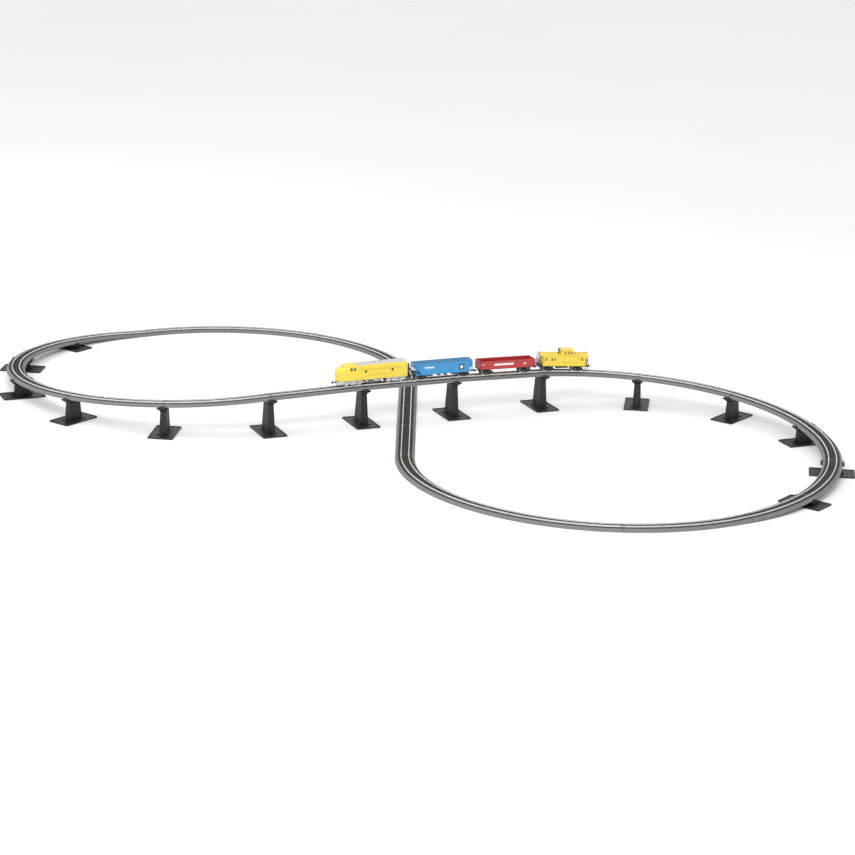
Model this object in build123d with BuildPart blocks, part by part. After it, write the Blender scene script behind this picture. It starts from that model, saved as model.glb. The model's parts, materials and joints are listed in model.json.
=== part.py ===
"""Electric train set in 1:87: a figure-eight of roadbed track on graduated piers, and a four-piece train.

Millimetres, +Z up. The origin is on the floor under the crossing, which is also the centre of the
layout, and +X runs along the figure-eight. Every vehicle is built in its own frame on the rails: x
forwards, y to its left, z off the rail tops.
"""
from build123d import *
from math import atan2, cos, degrees, radians, sin
import os

os.makedirs("parts", exist_ok=True)

# ---------------------------------------------------------------- track layout
CURVE_RADIUS = 457.2
CURVE_ANGLE = 30.0
STRAIGHT_LENGTH = 228.6
CROSSING_REACH = 1.5 * STRAIGHT_LENGTH
UPPER_HEADING = degrees(atan2(CURVE_RADIUS, CROSSING_REACH))
LOWER_HEADING = -60.0
LOOP_CENTRE = CURVE_RADIUS / sin(radians(UPPER_HEADING))
RAMP_CURVES = 5
GROUND_CURVES = 4
CLOSING_ANGLE = 180 + UPPER_HEADING - LOWER_HEADING - (RAMP_CURVES + GROUND_CURVES) * CURVE_ANGLE
FILLER_LENGTH = LOOP_CENTRE + CURVE_RADIUS / sin(radians(LOWER_HEADING))
LOWER_REACH = (LOOP_CENTRE + FILLER_LENGTH) / 2
PIER_HEIGHTS = (84.5, 79.5, 66.5, 53.0, 39.5, 25.5, 11.5)
RAMP_FOOT_HEIGHT = 1.5

# ---------------------------------------------------------------- track section
BED_WIDTH = 44.5
BED_LIP = 1.6
BALLAST_WIDTH = 33.0
BALLAST_TOP = 7.1
BED_WALL = 3.2
BED_HOLLOW = 4.0
RAIL_SEAT = 7.86
RAIL_HEIGHT = 2.54
RAIL_TOP = RAIL_SEAT + RAIL_HEIGHT
RAIL_FOOT = 2.0
RAIL_HEAD = 0.95
RAIL_WEB = 0.5
TRACK_GAUGE = 16.5
RAIL_CENTRE = (TRACK_GAUGE + RAIL_HEAD) / 2
SEAT_WIDTH = 2.6
BED_GAP = 0.25
RAMP_FOOT_GAP = 0.85
RAIL_GAP = 0.35
JOINER_LENGTH = 12.0
JOINER_NOTCH = 7.0

# ---------------------------------------------------------------- piers
PLATE_ALONG = 58.0
PLATE_ACROSS = 101.0
PLATE_THICK = 2.2
RIM_WIDTH = 2.4
RIM_HEIGHT = 0.9
CAP_ALONG = 26.0
CAP_ACROSS = 53.0
CAP_THICK = 2.2
CAP_DROP = 1.35
SADDLE_WIDTH = 2.0
SADDLE_GAP = 0.4
NECK_ALONG = 12.5
NECK_ACROSS = 34.0
TAPER_ALONG = 0.075
TAPER_ACROSS = 0.13
TAB_LENGTH = 12.0
TAB_INNER = 22.9
TAB_OUTER = 25.6
TAB_TOP = 3.2

# ---------------------------------------------------------------- running gear
TREAD_GAP = 0.1
BACK_TO_BACK = 14.4
FLANGE_WIDTH = 0.7
FLANGE_DEPTH = 0.7
WHEEL_WIDTH = 2.8
CAR_WHEEL_RADIUS = 4.8
LOCO_WHEEL_RADIUS = 5.8
AXLE_RADIUS = 1.0
CAR_WHEELBASE = 20.0
LOCO_WHEELBASE = 31.5
FRAME_INNER = 11.5
FRAME_THICK = 1.6
AXLE_TIP = 12.45
LOCO_GEAR_RADIUS = 2.5
GEAR_CASE_HALF_LENGTH = 19.2
KINGPIN_RADIUS = 1.5
TOWER_RADIUS = 5.0
FIT = 0.08

# ---------------------------------------------------------------- vehicles along the elevated route
LOCO_TRUCKS = (-141.0, -37.0)
HOPPER_TRUCKS = (32.0, 138.0)
GONDOLA_TRUCKS = (199.0, 297.0)
CABOOSE_TRUCKS = (357.0, 431.0)
COUPLER_HEIGHT = 9.9
COUPLER_PIVOT_INSET = 5.0
COUPLER_PIN_RADIUS = 0.9

LOCO_NOSE = 91.0
LOCO_REAR = -81.0
LOCO_HALF_WIDTH = 18.2
LOCO_SKIRT = 15.0
LOCO_ROOF = 51.5
SHELL_WALL = 1.2
FLYWHEEL_RADIUS = 7.0
WORM_RADIUS = 2.6
WORM_ROOT = 1.8

HOPPER_END = 72.0
HOPPER_HALF_WIDTH = 17.6
HOPPER_SILL = 14.4
HOPPER_TOP = 39.4
HOPPER_ROOF = 40.4
HOPPER_ROOF_HALF = 12.5

GONDOLA_END = 70.0
GONDOLA_HALF_WIDTH = 17.4
GONDOLA_FLOOR = 14.8
GONDOLA_TOP = 33.4

CABIN_FRONT = 53.0
CABIN_REAR = -55.0
CABOOSE_END = 62.0
CABOOSE_HALF_WIDTH = 17.4
CABOOSE_FLOOR = 13.6
CABOOSE_EAVE = 38.6
CABOOSE_ROOF = 42.2
CUPOLA_MIDDLE = -7.0
CUPOLA_HALF_LENGTH = 14.4
CUPOLA_TOP = 53.0


# ---------------------------------------------------------------- frames and small tools
def across(frame, x=0.0):
    """Plane across a frame: sketch x to the left, sketch y up, normal forwards."""
    return Plane(origin=frame.from_local_coords((x, 0, 0)), x_dir=frame.y_dir, z_dir=frame.x_dir)


def along(frame, y=0.0):
    """Plane along a frame: sketch x forwards, sketch y up, normal to the right."""
    return Plane(origin=frame.from_local_coords((0, y, 0)), x_dir=frame.x_dir, z_dir=-frame.y_dir)


def moved(frame, x):
    """A frame moved x forwards."""
    return Plane(origin=frame.from_local_coords((x, 0, 0)), x_dir=frame.x_dir, z_dir=frame.z_dir)


def block(frame, x, y, z, mode=Mode.ADD):
    """A box in a frame, between (low, high) pairs along each direction."""
    with BuildSketch(frame.offset(z[0])) as base:
        with Locations(((x[0] + x[1]) / 2, (y[0] + y[1]) / 2)):
            Rectangle(x[1] - x[0], y[1] - y[0])
    extrude(base.sketch, amount=z[1] - z[0], mode=mode)


def side_blocks(frame, x, y, z, mode=Mode.ADD):
    """The same box on both sides of a frame's centreline."""
    block(frame, x, y, z, mode)
    block(frame, x, (-y[1], -y[0]), z, mode)


def prism(plane, points, amount, mode=Mode.ADD, both=False):
    """A straight-sided outline on a plane, extruded."""
    with BuildSketch(plane) as outline:
        with BuildLine():
            Polyline(*points, close=True)
        make_face()
    extrude(outline.sketch, amount=amount, both=both, mode=mode)


def post(plane, centre, radius, amount, mode=Mode.ADD):
    """A round bar on a plane."""
    with BuildSketch(plane) as disc:
        with Locations(centre):
            Circle(radius)
    extrude(disc.sketch, amount=amount, mode=mode)


def mirrored(points):
    """An outline's right half, followed by its mirror image, as one closed loop."""
    return list(points) + [(-x, y) for x, y in reversed(points) if x != 0]


def finish(part, name):
    """Label a finished piece and write its file."""
    part.label = name
    export_step(part, f"parts/{name}.step")


# ---------------------------------------------------------------- the route
class Section:
    """A rigid piece of track between two joints. turn is its bend in degrees, positive to the left."""

    def __init__(self, start, end, turn=0.0, length=STRAIGHT_LENGTH):
        self.turn = turn
        self.length = length
        self.middle = (start + end) * 0.5
        self.ahead = (end - start).normalized()
        self.left = Vector(0, 0, 1).cross(self.ahead).normalized()
        self.up = self.ahead.cross(self.left)
        self.first_gap = BED_GAP
        self.last_gap = BED_GAP

    def cross_plane(self, distance):
        """Plane across the track, a distance along the centreline from the middle of the piece."""
        bend = 0.0 if self.turn == 0 else distance / CURVE_RADIUS
        side = 1 if self.turn > 0 else -1
        if self.turn == 0:
            position = self.middle + self.ahead * distance
        else:
            bulge = CURVE_RADIUS * (cos(bend) - cos(radians(self.turn / 2)))
            position = self.middle + self.ahead * (CURVE_RADIUS * sin(bend)) - self.left * (side * bulge)
        tangent = self.ahead * cos(bend) + self.left * (side * sin(bend))
        return Plane(origin=position, x_dir=self.up.cross(tangent), z_dir=tangent)

    def turning_axis(self):
        """Axis about which a curved piece is swept."""
        side = 1 if self.turn > 0 else -1
        centre = self.middle + self.left * (side * CURVE_RADIUS * cos(radians(self.turn / 2)))
        return Axis(centre, self.up * side)


def heading_vector(angle):
    """Unit vector in plan at an angle from +X, in degrees."""
    return Vector(cos(radians(angle)), sin(radians(angle)), 0)


def loop_turns():
    """Bend of each piece of a loop, from the top of the ramp round to the crossing's ground line."""
    return [CURVE_ANGLE] * RAMP_CURVES + [CLOSING_ANGLE, 0.0] + [CURVE_ANGLE] * GROUND_CURVES


def loop_heights():
    """Underside height at each joint of a loop."""
    return list(PIER_HEIGHTS[1:]) + [RAMP_FOOT_HEIGHT] + [0.0] * (GROUND_CURVES + 1)


def loop_joints(mirror_sign):
    """Joints of a loop; mirror_sign is 1 for the right loop and -1 for the left."""
    angle = 90 + UPPER_HEADING
    centre = Vector(LOOP_CENTRE, 0, 0)
    joints = [centre + heading_vector(angle) * CURVE_RADIUS]
    for turn in loop_turns():
        angle -= turn
        if turn == 0:
            centre = centre + heading_vector(angle - 90) * FILLER_LENGTH
        joints.append(centre + heading_vector(angle) * CURVE_RADIUS)
    return [joint * mirror_sign + Vector(0, 0, height) for joint, height in zip(joints, loop_heights())]


def loop_sections(mirror_sign):
    """The pieces of one loop in order down the ramp: curves, with one short straight at the foot."""
    joints = loop_joints(mirror_sign)
    pieces = []
    for start, end, turn in zip(joints[:-1], joints[1:], loop_turns()):
        length = CURVE_RADIUS * radians(turn) if turn > 0 else FILLER_LENGTH
        pieces.append(Section(start, end, -turn, length))
    pieces[RAMP_CURVES].last_gap = RAMP_FOOT_GAP
    pieces[RAMP_CURVES + 1].last_gap = RAMP_FOOT_GAP
    return pieces


def straight_sections(heading, distances, heights):
    """Straights through the crossing, between joints at distances along a heading."""
    joints = [heading_vector(heading) * d + Vector(0, 0, h) for d, h in zip(distances, heights)]
    return [Section(a, b, length=(b - a).length) for a, b in zip(joints[:-1], joints[1:])]


CROSSING_JOINTS = (-CROSSING_REACH, -STRAIGHT_LENGTH / 2, STRAIGHT_LENGTH / 2, CROSSING_REACH)
CROSSING_HEIGHTS = (PIER_HEIGHTS[1], PIER_HEIGHTS[0], PIER_HEIGHTS[0], PIER_HEIGHTS[1])
LOWER_INNER = LOWER_REACH - STRAIGHT_LENGTH
LOWER_JOINTS = (-LOWER_REACH, -LOWER_INNER, LOWER_INNER, LOWER_REACH)
upper_straights = straight_sections(UPPER_HEADING, CROSSING_JOINTS, CROSSING_HEIGHTS)
lower_straights = straight_sections(LOWER_HEADING, LOWER_JOINTS, (0.0, 0.0, 0.0, 0.0))
right_loop = loop_sections(1)
left_loop = loop_sections(-1)
track_groups = {
    "upper_straight": upper_straights,
    "lower_straight": lower_straights,
    "left_loop": left_loop,
    "right_loop": right_loop,
}


# ---------------------------------------------------------------- track pieces
def bed_outline():
    """Hollow trapezoid of the roadbed, in the section's cross plane."""
    foot = BED_WIDTH / 2
    shoulder = BALLAST_WIDTH / 2
    right = [
        (0, BED_HOLLOW),
        (foot - BED_WALL - 2, BED_HOLLOW),
        (foot - BED_WALL, 0),
        (foot, 0),
        (foot, BED_LIP),
        (shoulder, BALLAST_TOP),
        (0, BALLAST_TOP),
    ]
    return right + [(-x, y) for x, y in reversed(right[1:-1])]


def rail_outline(centre):
    """Flat-footed rail about a lateral centre, standing on the rail seat."""
    foot, web, head = RAIL_FOOT / 2, RAIL_WEB / 2, RAIL_HEAD / 2
    right = [
        (foot, 0),
        (foot, 0.3),
        (web, 0.62),
        (web, RAIL_HEIGHT - 1.0),
        (head, RAIL_HEIGHT - 0.8),
        (head, RAIL_HEIGHT - 0.1),
        (head - 0.1, RAIL_HEIGHT),
    ]
    return [(centre + x, RAIL_SEAT + y) for x, y in mirrored(right)]


def seat_outline(centre):
    """Raised strip of the roadbed that carries one rail."""
    half = SEAT_WIDTH / 2
    return [
        (centre - half, BALLAST_TOP - 0.5),
        (centre + half, BALLAST_TOP - 0.5),
        (centre + half, RAIL_SEAT),
        (centre - half, RAIL_SEAT),
    ]


def lay(section, outlines, first_trim, last_trim):
    """Run outlines along a piece of track, stopping short of each joint."""
    with BuildSketch(section.cross_plane(first_trim - section.length / 2)) as profile:
        for points in outlines:
            with BuildLine():
                Polyline(*points, close=True)
            make_face()
    run = section.length - first_trim - last_trim
    if section.turn == 0:
        extrude(profile.sketch, amount=run)
    else:
        revolve(profile.sketch, axis=section.turning_axis(), revolution_arc=degrees(run / CURVE_RADIUS))


def roadbeds(sections):
    """Moulded roadbeds of a group of track pieces."""
    seats = [seat_outline(side * RAIL_CENTRE) for side in (-1, 1)]
    with BuildPart() as beds:
        for section in sections:
            lay(section, [bed_outline()], section.first_gap, section.last_gap)
            lay(section, seats, JOINER_NOTCH, JOINER_NOTCH)
    return beds.part


def rails(sections):
    """Pairs of rails of a group of track pieces."""
    outlines = [rail_outline(side * RAIL_CENTRE) for side in (-1, 1)]
    with BuildPart() as pairs:
        for section in sections:
            last_trim = RAIL_GAP + section.last_gap - BED_GAP
            lay(section, outlines, RAIL_GAP, last_trim)
    return pairs.part


for group, sections in track_groups.items():
    finish(roadbeds(sections), f"{group}_roadbeds")
straight_rails = rails(upper_straights + lower_straights)
finish(straight_rails, "straight_rails")
finish(rails(left_loop), "left_loop_rails")
finish(rails(right_loop), "right_loop_rails")


def joint_planes():
    """Plane across the track at every joint, once each, halfway between its two pieces."""
    planes = []
    for before, after in joint_pairs():
        last = before.cross_plane(before.length / 2)
        first = after.cross_plane(-after.length / 2)
        tangent = (last.z_dir + first.z_dir).normalized()
        lift = (last.y_dir + first.y_dir).normalized()
        origin = (last.origin + first.origin) * 0.5
        planes.append(Plane(origin=origin, x_dir=lift.cross(tangent), z_dir=tangent))
    return planes


def joint_pairs():
    """Neighbouring pieces, round the whole closed route."""
    ground_line = [turned_round(piece) for piece in reversed(lower_straights)]
    forward = upper_straights + right_loop + ground_line
    pairs = list(zip(forward[:-1], forward[1:]))
    backward = [turned_round(piece) for piece in reversed(upper_straights)] + left_loop + lower_straights
    pairs += list(zip(backward[:-1], backward[1:]))[2:-2]
    return pairs


def turned_round(piece):
    """The same straight piece, travelled the other way."""
    half = piece.ahead * (piece.length / 2)
    return Section(piece.middle + half, piece.middle - half, length=piece.length)


def joiner_outline(centre):
    """Folded metal sleeve under and beside a rail's foot."""
    inner, outer = 1.25, 1.6
    floor, sole, top = RAIL_SEAT - 0.5, RAIL_SEAT - 0.22, RAIL_SEAT + 0.8
    right = [(0, floor), (outer, floor), (outer, top), (inner, top), (inner, sole), (0, sole)]
    loop = right + [(-x, y) for x, y in reversed(right[1:-1])]
    return [(centre + x, y) for x, y in loop]


with BuildPart() as rail_joiners:
    for joint in joint_planes():
        for side in (-1, 1):
            prism(joint, joiner_outline(side * RAIL_CENTRE), JOINER_LENGTH / 2, both=True)
finish(rail_joiners.part, "rail_joiners")


# ---------------------------------------------------------------- piers
def pier_plane(number, mirror_sign):
    """Ground plane under a pier, x along the track. Number 0 stands beside the crossing."""
    if number < 2:
        direction = heading_vector(UPPER_HEADING)
        point = direction * CROSSING_JOINTS[number + 2] * mirror_sign
    else:
        direction = heading_vector(UPPER_HEADING - CURVE_ANGLE * (number - 1))
        joint = loop_joints(mirror_sign)[number - 1]
        point = Vector(joint.X, joint.Y, 0)
    return Plane(origin=point, x_dir=direction, z_dir=(0, 0, 1))


def tab_outline(side):
    """Clip that stands up beside the roadbed, with a small barb above its lip."""
    points = [(TAB_OUTER, -1.5), (TAB_INNER, -1.5), (TAB_INNER, 2.0), (TAB_INNER - 0.7, 2.4)]
    points += [(TAB_INNER, TAB_TOP), (TAB_OUTER - 1.2, TAB_TOP), (TAB_OUTER, 2.2)]
    return [(side * x, y) for x, y in points]


def pier(plane, height):
    """One pier on its ground plane: plate, rim, step, tapered column, flared cap and clips."""
    cap_top = height - CAP_DROP
    cap_base = cap_top - CAP_THICK
    flare_base = max(cap_base - 6.5, PLATE_THICK + RIM_HEIGHT)
    with BuildSketch(plane) as plate:
        RectangleRounded(PLATE_ALONG, PLATE_ACROSS, 3.0)
    extrude(plate.sketch, amount=PLATE_THICK)
    with BuildSketch(plane.offset(PLATE_THICK)) as rim:
        RectangleRounded(PLATE_ALONG, PLATE_ACROSS, 3.0)
        RectangleRounded(PLATE_ALONG - 2 * RIM_WIDTH, PLATE_ACROSS - 2 * RIM_WIDTH, 1.5, mode=Mode.SUBTRACT)
    extrude(rim.sketch, amount=RIM_HEIGHT)
    rise = flare_base - PLATE_THICK
    foot_along = NECK_ALONG + TAPER_ALONG * rise
    foot_across = NECK_ACROSS + TAPER_ACROSS * rise
    with BuildSketch(plane.offset(PLATE_THICK)) as foot:
        Rectangle(foot_along, foot_across)
    with BuildSketch(plane.offset(flare_base)) as neck:
        Rectangle(NECK_ALONG, NECK_ACROSS)
    loft([foot.sketch.face(), neck.sketch.face()])
    with BuildSketch(plane.offset(cap_base)) as flare:
        Rectangle(CAP_ALONG - 2, CAP_ACROSS - 2)
    loft([neck.sketch.face(), flare.sketch.face()])
    half_along, half_across = CAP_ALONG / 2, CAP_ACROSS / 2
    block(plane, (-half_along, half_along), (-half_across, half_across), (cap_base, cap_top))
    saddle = BED_WIDTH / 2
    block(plane, (-SADDLE_WIDTH / 2, SADDLE_WIDTH / 2), (-saddle, saddle), (cap_top, height - SADDLE_GAP))
    for side in (-1, 1):
        prism(across(plane.offset(height)), tab_outline(side), TAB_LENGTH / 2, both=True)
    if rise > 12:
        block(plane, (-14, 14), (-foot_across / 2 - 4, foot_across / 2 + 4), (PLATE_THICK, PLATE_THICK + 1.6))
        for side in (-1, 1):
            reach = foot_across / 2 + 9
            rib = [(side * (foot_across / 2 - 1.5), PLATE_THICK), (side * reach, PLATE_THICK)]
            rib.append((side * (foot_across / 2 - 1.5), PLATE_THICK + 11))
            prism(across(plane), rib, 1.0, both=True)


def pier_pair(number):
    """The two equal piers that stand the same way from the crossing."""
    with BuildPart() as pair:
        for mirror_sign in (-1, 1):
            pier(pier_plane(number, mirror_sign), PIER_HEIGHTS[number])
    return pair.part


for number in range(len(PIER_HEIGHTS)):
    finish(pier_pair(number), f"pier_pair_{number + 1}")


# ---------------------------------------------------------------- where the vehicles stand
def rail_point(distance):
    """Point midway between the rail tops at a distance along the elevated route, and that piece's up."""
    for start, piece in zip(CROSSING_JOINTS, upper_straights + right_loop[:1]):
        if start <= distance <= start + piece.length:
            place = piece.cross_plane(distance - start - piece.length / 2)
            return place.origin + place.y_dir * RAIL_TOP, piece.up
    raise ValueError("no track under the train there")


def truck_frame(centre, wheelbase):
    """Frame of a truck that stands on the rails: origin on the rail tops, midway between the axles."""
    front, lift = rail_point(centre - wheelbase / 2)
    rear, _ = rail_point(centre + wheelbase / 2)
    return Plane(origin=(front + rear) * 0.5, x_dir=front - rear, z_dir=lift)


def truck_frames(centres, wheelbase):
    """Frames of a vehicle's front and rear trucks."""
    return [truck_frame(centre, wheelbase) for centre in centres]


def vehicle_frame(trucks):
    """Frame of a vehicle carried on two trucks."""
    front, rear = trucks
    forward = (front.origin - rear.origin).normalized()
    leftward = (front.z_dir + rear.z_dir).cross(forward).normalized()
    return Plane(origin=(front.origin + rear.origin) * 0.5, x_dir=forward, z_dir=forward.cross(leftward))


def coupler_frame(vehicle, x, partner=None, partner_x=0.0):
    """Frame at a coupler's pivot, x outwards, aimed at its partner's pivot if it has one."""
    pivot = vehicle.from_local_coords((x, 0, COUPLER_HEIGHT))
    outward = vehicle.x_dir if x > 0 else -vehicle.x_dir
    if partner is None:
        return Plane(origin=pivot, x_dir=outward, z_dir=vehicle.z_dir)
    outward = (partner.from_local_coords((partner_x, 0, COUPLER_HEIGHT)) - pivot).normalized()
    lift = vehicle.z_dir + partner.z_dir
    leftward = lift.cross(outward).normalized()
    return Plane(origin=pivot, x_dir=outward, z_dir=outward.cross(leftward))


loco_trucks = truck_frames(LOCO_TRUCKS, LOCO_WHEELBASE)
hopper_trucks = truck_frames(HOPPER_TRUCKS, CAR_WHEELBASE)
gondola_trucks = truck_frames(GONDOLA_TRUCKS, CAR_WHEELBASE)
caboose_trucks = truck_frames(CABOOSE_TRUCKS, CAR_WHEELBASE)
loco = vehicle_frame(loco_trucks)
hopper = vehicle_frame(hopper_trucks)
gondola = vehicle_frame(gondola_trucks)
caboose = vehicle_frame(caboose_trucks)

LOCO_PIVOTS = (LOCO_NOSE - 7, LOCO_REAR + COUPLER_PIVOT_INSET)
HOPPER_PIVOTS = (HOPPER_END - COUPLER_PIVOT_INSET, COUPLER_PIVOT_INSET - HOPPER_END)
GONDOLA_PIVOTS = (GONDOLA_END - COUPLER_PIVOT_INSET, COUPLER_PIVOT_INSET - GONDOLA_END)
CABOOSE_PIVOTS = (CABOOSE_END - COUPLER_PIVOT_INSET, COUPLER_PIVOT_INSET - CABOOSE_END)

coupler_frames = {
    "loco_front_coupler": coupler_frame(loco, LOCO_PIVOTS[0]),
    "loco_rear_coupler": coupler_frame(loco, LOCO_PIVOTS[1], hopper, HOPPER_PIVOTS[0]),
    "hopper_front_coupler": coupler_frame(hopper, HOPPER_PIVOTS[0], loco, LOCO_PIVOTS[1]),
    "hopper_rear_coupler": coupler_frame(hopper, HOPPER_PIVOTS[1], gondola, GONDOLA_PIVOTS[0]),
    "gondola_front_coupler": coupler_frame(gondola, GONDOLA_PIVOTS[0], hopper, HOPPER_PIVOTS[1]),
    "gondola_rear_coupler": coupler_frame(gondola, GONDOLA_PIVOTS[1], caboose, CABOOSE_PIVOTS[0]),
    "caboose_front_coupler": coupler_frame(caboose, CABOOSE_PIVOTS[0], gondola, GONDOLA_PIVOTS[1]),
    "caboose_rear_coupler": coupler_frame(caboose, CABOOSE_PIVOTS[1]),
}
COUPLED = (
    ("loco_rear_coupler", "hopper_front_coupler"),
    ("hopper_rear_coupler", "gondola_front_coupler"),
    ("gondola_rear_coupler", "caboose_front_coupler"),
)
FREE_REACH = 16.5
coupler_reach = {"loco_front_coupler": FREE_REACH, "caboose_rear_coupler": FREE_REACH - 3}
for one, other in COUPLED:
    span = (coupler_frames[one].origin - coupler_frames[other].origin).length
    coupler_reach[one] = span / 2
    coupler_reach[other] = span / 2


# ---------------------------------------------------------------- wheelsets
def axle_plane(frame, x, height):
    """Plane through an axle: sketch x along the axle to the left, sketch y up."""
    return Plane(origin=frame.from_local_coords((x, 0, height)), x_dir=frame.y_dir, z_dir=frame.x_dir)


def wheel_outline(radius):
    """Right-hand wheel's rim, web and hub, from its back face to its outer face."""
    back = BACK_TO_BACK / 2
    face = back + WHEEL_WIDTH
    crown = radius + FLANGE_DEPTH
    return [
        (back, AXLE_RADIUS),
        (back, crown - 0.25),
        (back + 0.2, crown),
        (back + 0.45, crown - 0.05),
        (back + FLANGE_WIDTH, radius),
        (face, radius - 0.1),
        (face, radius - 1.1),
        (face - 0.8, radius - 1.4),
        (face - 0.8, AXLE_RADIUS + 1.1),
        (face - 0.2, AXLE_RADIUS + 0.8),
        (face - 0.2, AXLE_RADIUS),
    ]


def wheelset(frame, x, radius, middle, ends):
    """Two wheels on their axle, turned about it; middle and ends finish the axle's outline."""
    height = radius + TREAD_GAP
    right = middle + wheel_outline(radius) + ends
    plane = axle_plane(frame, x, height)
    with BuildPart() as wheels:
        with BuildSketch(plane) as outline:
            with BuildLine():
                Polyline(*right, *[(-a, b) for a, b in reversed(right)], close=True)
            make_face()
        revolve(outline.sketch, axis=Axis(plane.origin, plane.x_dir))
    return wheels.part


def car_wheelset(frame, x):
    """Needle-point wheelset of a car."""
    ends = [(AXLE_TIP - 1.4, AXLE_RADIUS), (AXLE_TIP, 0.15), (AXLE_TIP, 0)]
    return wheelset(frame, x, CAR_WHEEL_RADIUS, [(0.5, AXLE_RADIUS)], ends)


def loco_wheelset(frame, x):
    """Driven wheelset, with a gear in the middle of a plain-ended axle."""
    gear = [(2.2, LOCO_GEAR_RADIUS), (2.2, AXLE_RADIUS)]
    end = BACK_TO_BACK / 2 + WHEEL_WIDTH + 0.6
    return wheelset(frame, x, LOCO_WHEEL_RADIUS, gear, [(end, AXLE_RADIUS), (end, 0)])


END_NAMES = ("front", "rear")
for end, frame in zip(END_NAMES, loco_trucks):
    finish(loco_wheelset(frame, LOCO_WHEELBASE / 2), f"loco_{end}_leading_wheelset")
    finish(loco_wheelset(frame, -LOCO_WHEELBASE / 2), f"loco_{end}_trailing_wheelset")
car_trucks = {"hopper": hopper_trucks, "gondola": gondola_trucks, "caboose": caboose_trucks}
for car, trucks in car_trucks.items():
    for end, frame in zip(END_NAMES, trucks):
        finish(car_wheelset(frame, CAR_WHEELBASE / 2), f"{car}_{end}_leading_wheelset")
        finish(car_wheelset(frame, -CAR_WHEELBASE / 2), f"{car}_{end}_trailing_wheelset")


# ---------------------------------------------------------------- trucks
def side_frames(frame, inner, outline, windows=()):
    """Cast side frames on both sides of a truck, FRAME_THICK thick from their inner faces."""
    for left_face in (inner + FRAME_THICK, -inner):
        prism(along(frame, left_face), outline, FRAME_THICK)
        for window in windows:
            prism(along(frame, left_face), window, FRAME_THICK, mode=Mode.SUBTRACT)


def car_truck(frame):
    """Two-axle freight truck: side frames, bolster and centre plate in one moulding."""
    half = CAR_WHEELBASE / 2
    axle = CAR_WHEEL_RADIUS + TREAD_GAP
    right = [(0, 1.9), (4.2, 1.9), (7.6, 3.2), (half + 3.4, 3.4), (half + 3.4, 6.2), (half - 1, 8.7), (0, 8.7)]
    window = [(3.6, 4.2), (7.2, 4.6), (7.2, 6.2), (3.6, 7.2)]
    with BuildPart() as truck:
        windows = [window, [(-x, z) for x, z in reversed(window)]]
        side_frames(frame, FRAME_INNER, right + [(-x, z) for x, z in reversed(right[1:-1])], windows)
        block(frame, (-3.1, 3.1), (-FRAME_INNER - 0.2, FRAME_INNER + 0.2), (6.2, 8.8))
        post(frame.offset(8.8), (0, 0), 3.4, 0.5)
        post(frame.offset(6), (0, 0), KINGPIN_RADIUS, 4, mode=Mode.SUBTRACT)
        for x in (-half, half):
            bearing = axle_plane(frame, x, axle)
            for side in (-1, 1):
                cone = [(11.3, 0), (11.3, 1.45), (12.85, 0.25), (12.85, 0)]
                with BuildSketch(bearing) as cup:
                    with BuildLine():
                        Polyline(*[(side * a, b) for a, b in cone], close=True)
                    make_face()
                revolve(cup.sketch, axis=Axis(bearing.origin, bearing.x_dir), mode=Mode.SUBTRACT)
    return truck.part


def loco_truck(frame):
    """Powered truck: deck, gear case with its pivot tower, and outside side frames."""
    half = LOCO_WHEELBASE / 2
    axle = LOCO_WHEEL_RADIUS + TREAD_GAP
    case = GEAR_CASE_HALF_LENGTH
    right = [(0, 4.0), (6.0, 4.0), (8.0, 6.2), (12.2, 6.4), (13.0, 3.4), (18.6, 3.4), (19.4, 6.6)]
    right += [(23.0, 7.4), (23.0, 10.2), (21.0, 12.6), (21.0, 13.8), (0, 13.8)]
    window = [(5.6, 8.4), (11.6, 8.4), (11.6, 10.6), (5.6, 10.6)]
    with BuildPart() as truck:
        block(frame, (-case, case), (-13.9, 13.9), (12.7, 13.8))
        windows = [window, [(-x, z) for x, z in reversed(window)]]
        side_frames(frame, 12.3, right + [(-x, z) for x, z in reversed(right[1:-1])], windows)
        side_blocks(frame, (-case, case), (4.6, 6.2), (1.9, 12.8))
        for x in (-case, case - 0.8):
            block(frame, (x, x + 0.8), (-5, 5), (1.9, 12.8))
        block(frame, (-case, case), (-6.2, 6.2), (1.3, 2.1))
        post(frame.offset(13.8), (0, 0), TOWER_RADIUS, 4.4)
        post(frame.offset(12), (0, 0), 3.6, 8, mode=Mode.SUBTRACT)
        for x in (-half, half):
            bearing = axle_plane(frame, x, axle)
            with BuildSketch(Plane(origin=bearing.origin, x_dir=frame.x_dir, z_dir=frame.y_dir)) as hole:
                Circle(AXLE_RADIUS + FIT)
            extrude(hole.sketch, amount=6.5, both=True, mode=Mode.SUBTRACT)
    return truck.part


for end, frame in zip(END_NAMES, loco_trucks):
    finish(loco_truck(frame), f"loco_{end}_truck")
for car, trucks in car_trucks.items():
    for end, frame in zip(END_NAMES, trucks):
        finish(car_truck(frame), f"{car}_{end}_truck")


# ---------------------------------------------------------------- couplers and their pockets
def coupler(frame, reach):
    """Knuckle coupler on its pivot frame: eye, shank and head. reach is from the pivot to the mating line."""
    with BuildPart() as hook:
        post(frame.offset(-0.8), (0, 0), 2.2, 1.6)
        block(frame, (0, reach - 2.5), (-1.2, 1.2), (-0.8, 0.8))
        block(frame, (reach - 4.2, reach - 1.4), (-2.7, 2.7), (-2.0, 2.0))
        finger = [(reach - 1.6, 0.6), (reach - 1.6, 2.7), (reach + 0.2, 2.7), (reach + 0.8, 2.0)]
        finger += [(reach + 0.8, -0.2), (reach + 0.25, -0.2), (reach + 0.1, 0.6)]
        prism(frame.offset(-2.0), finger, 4.0)
        post(frame.offset(-1), (0, 0), COUPLER_PIN_RADIUS + FIT, 2, mode=Mode.SUBTRACT)
    return hook.part


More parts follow.
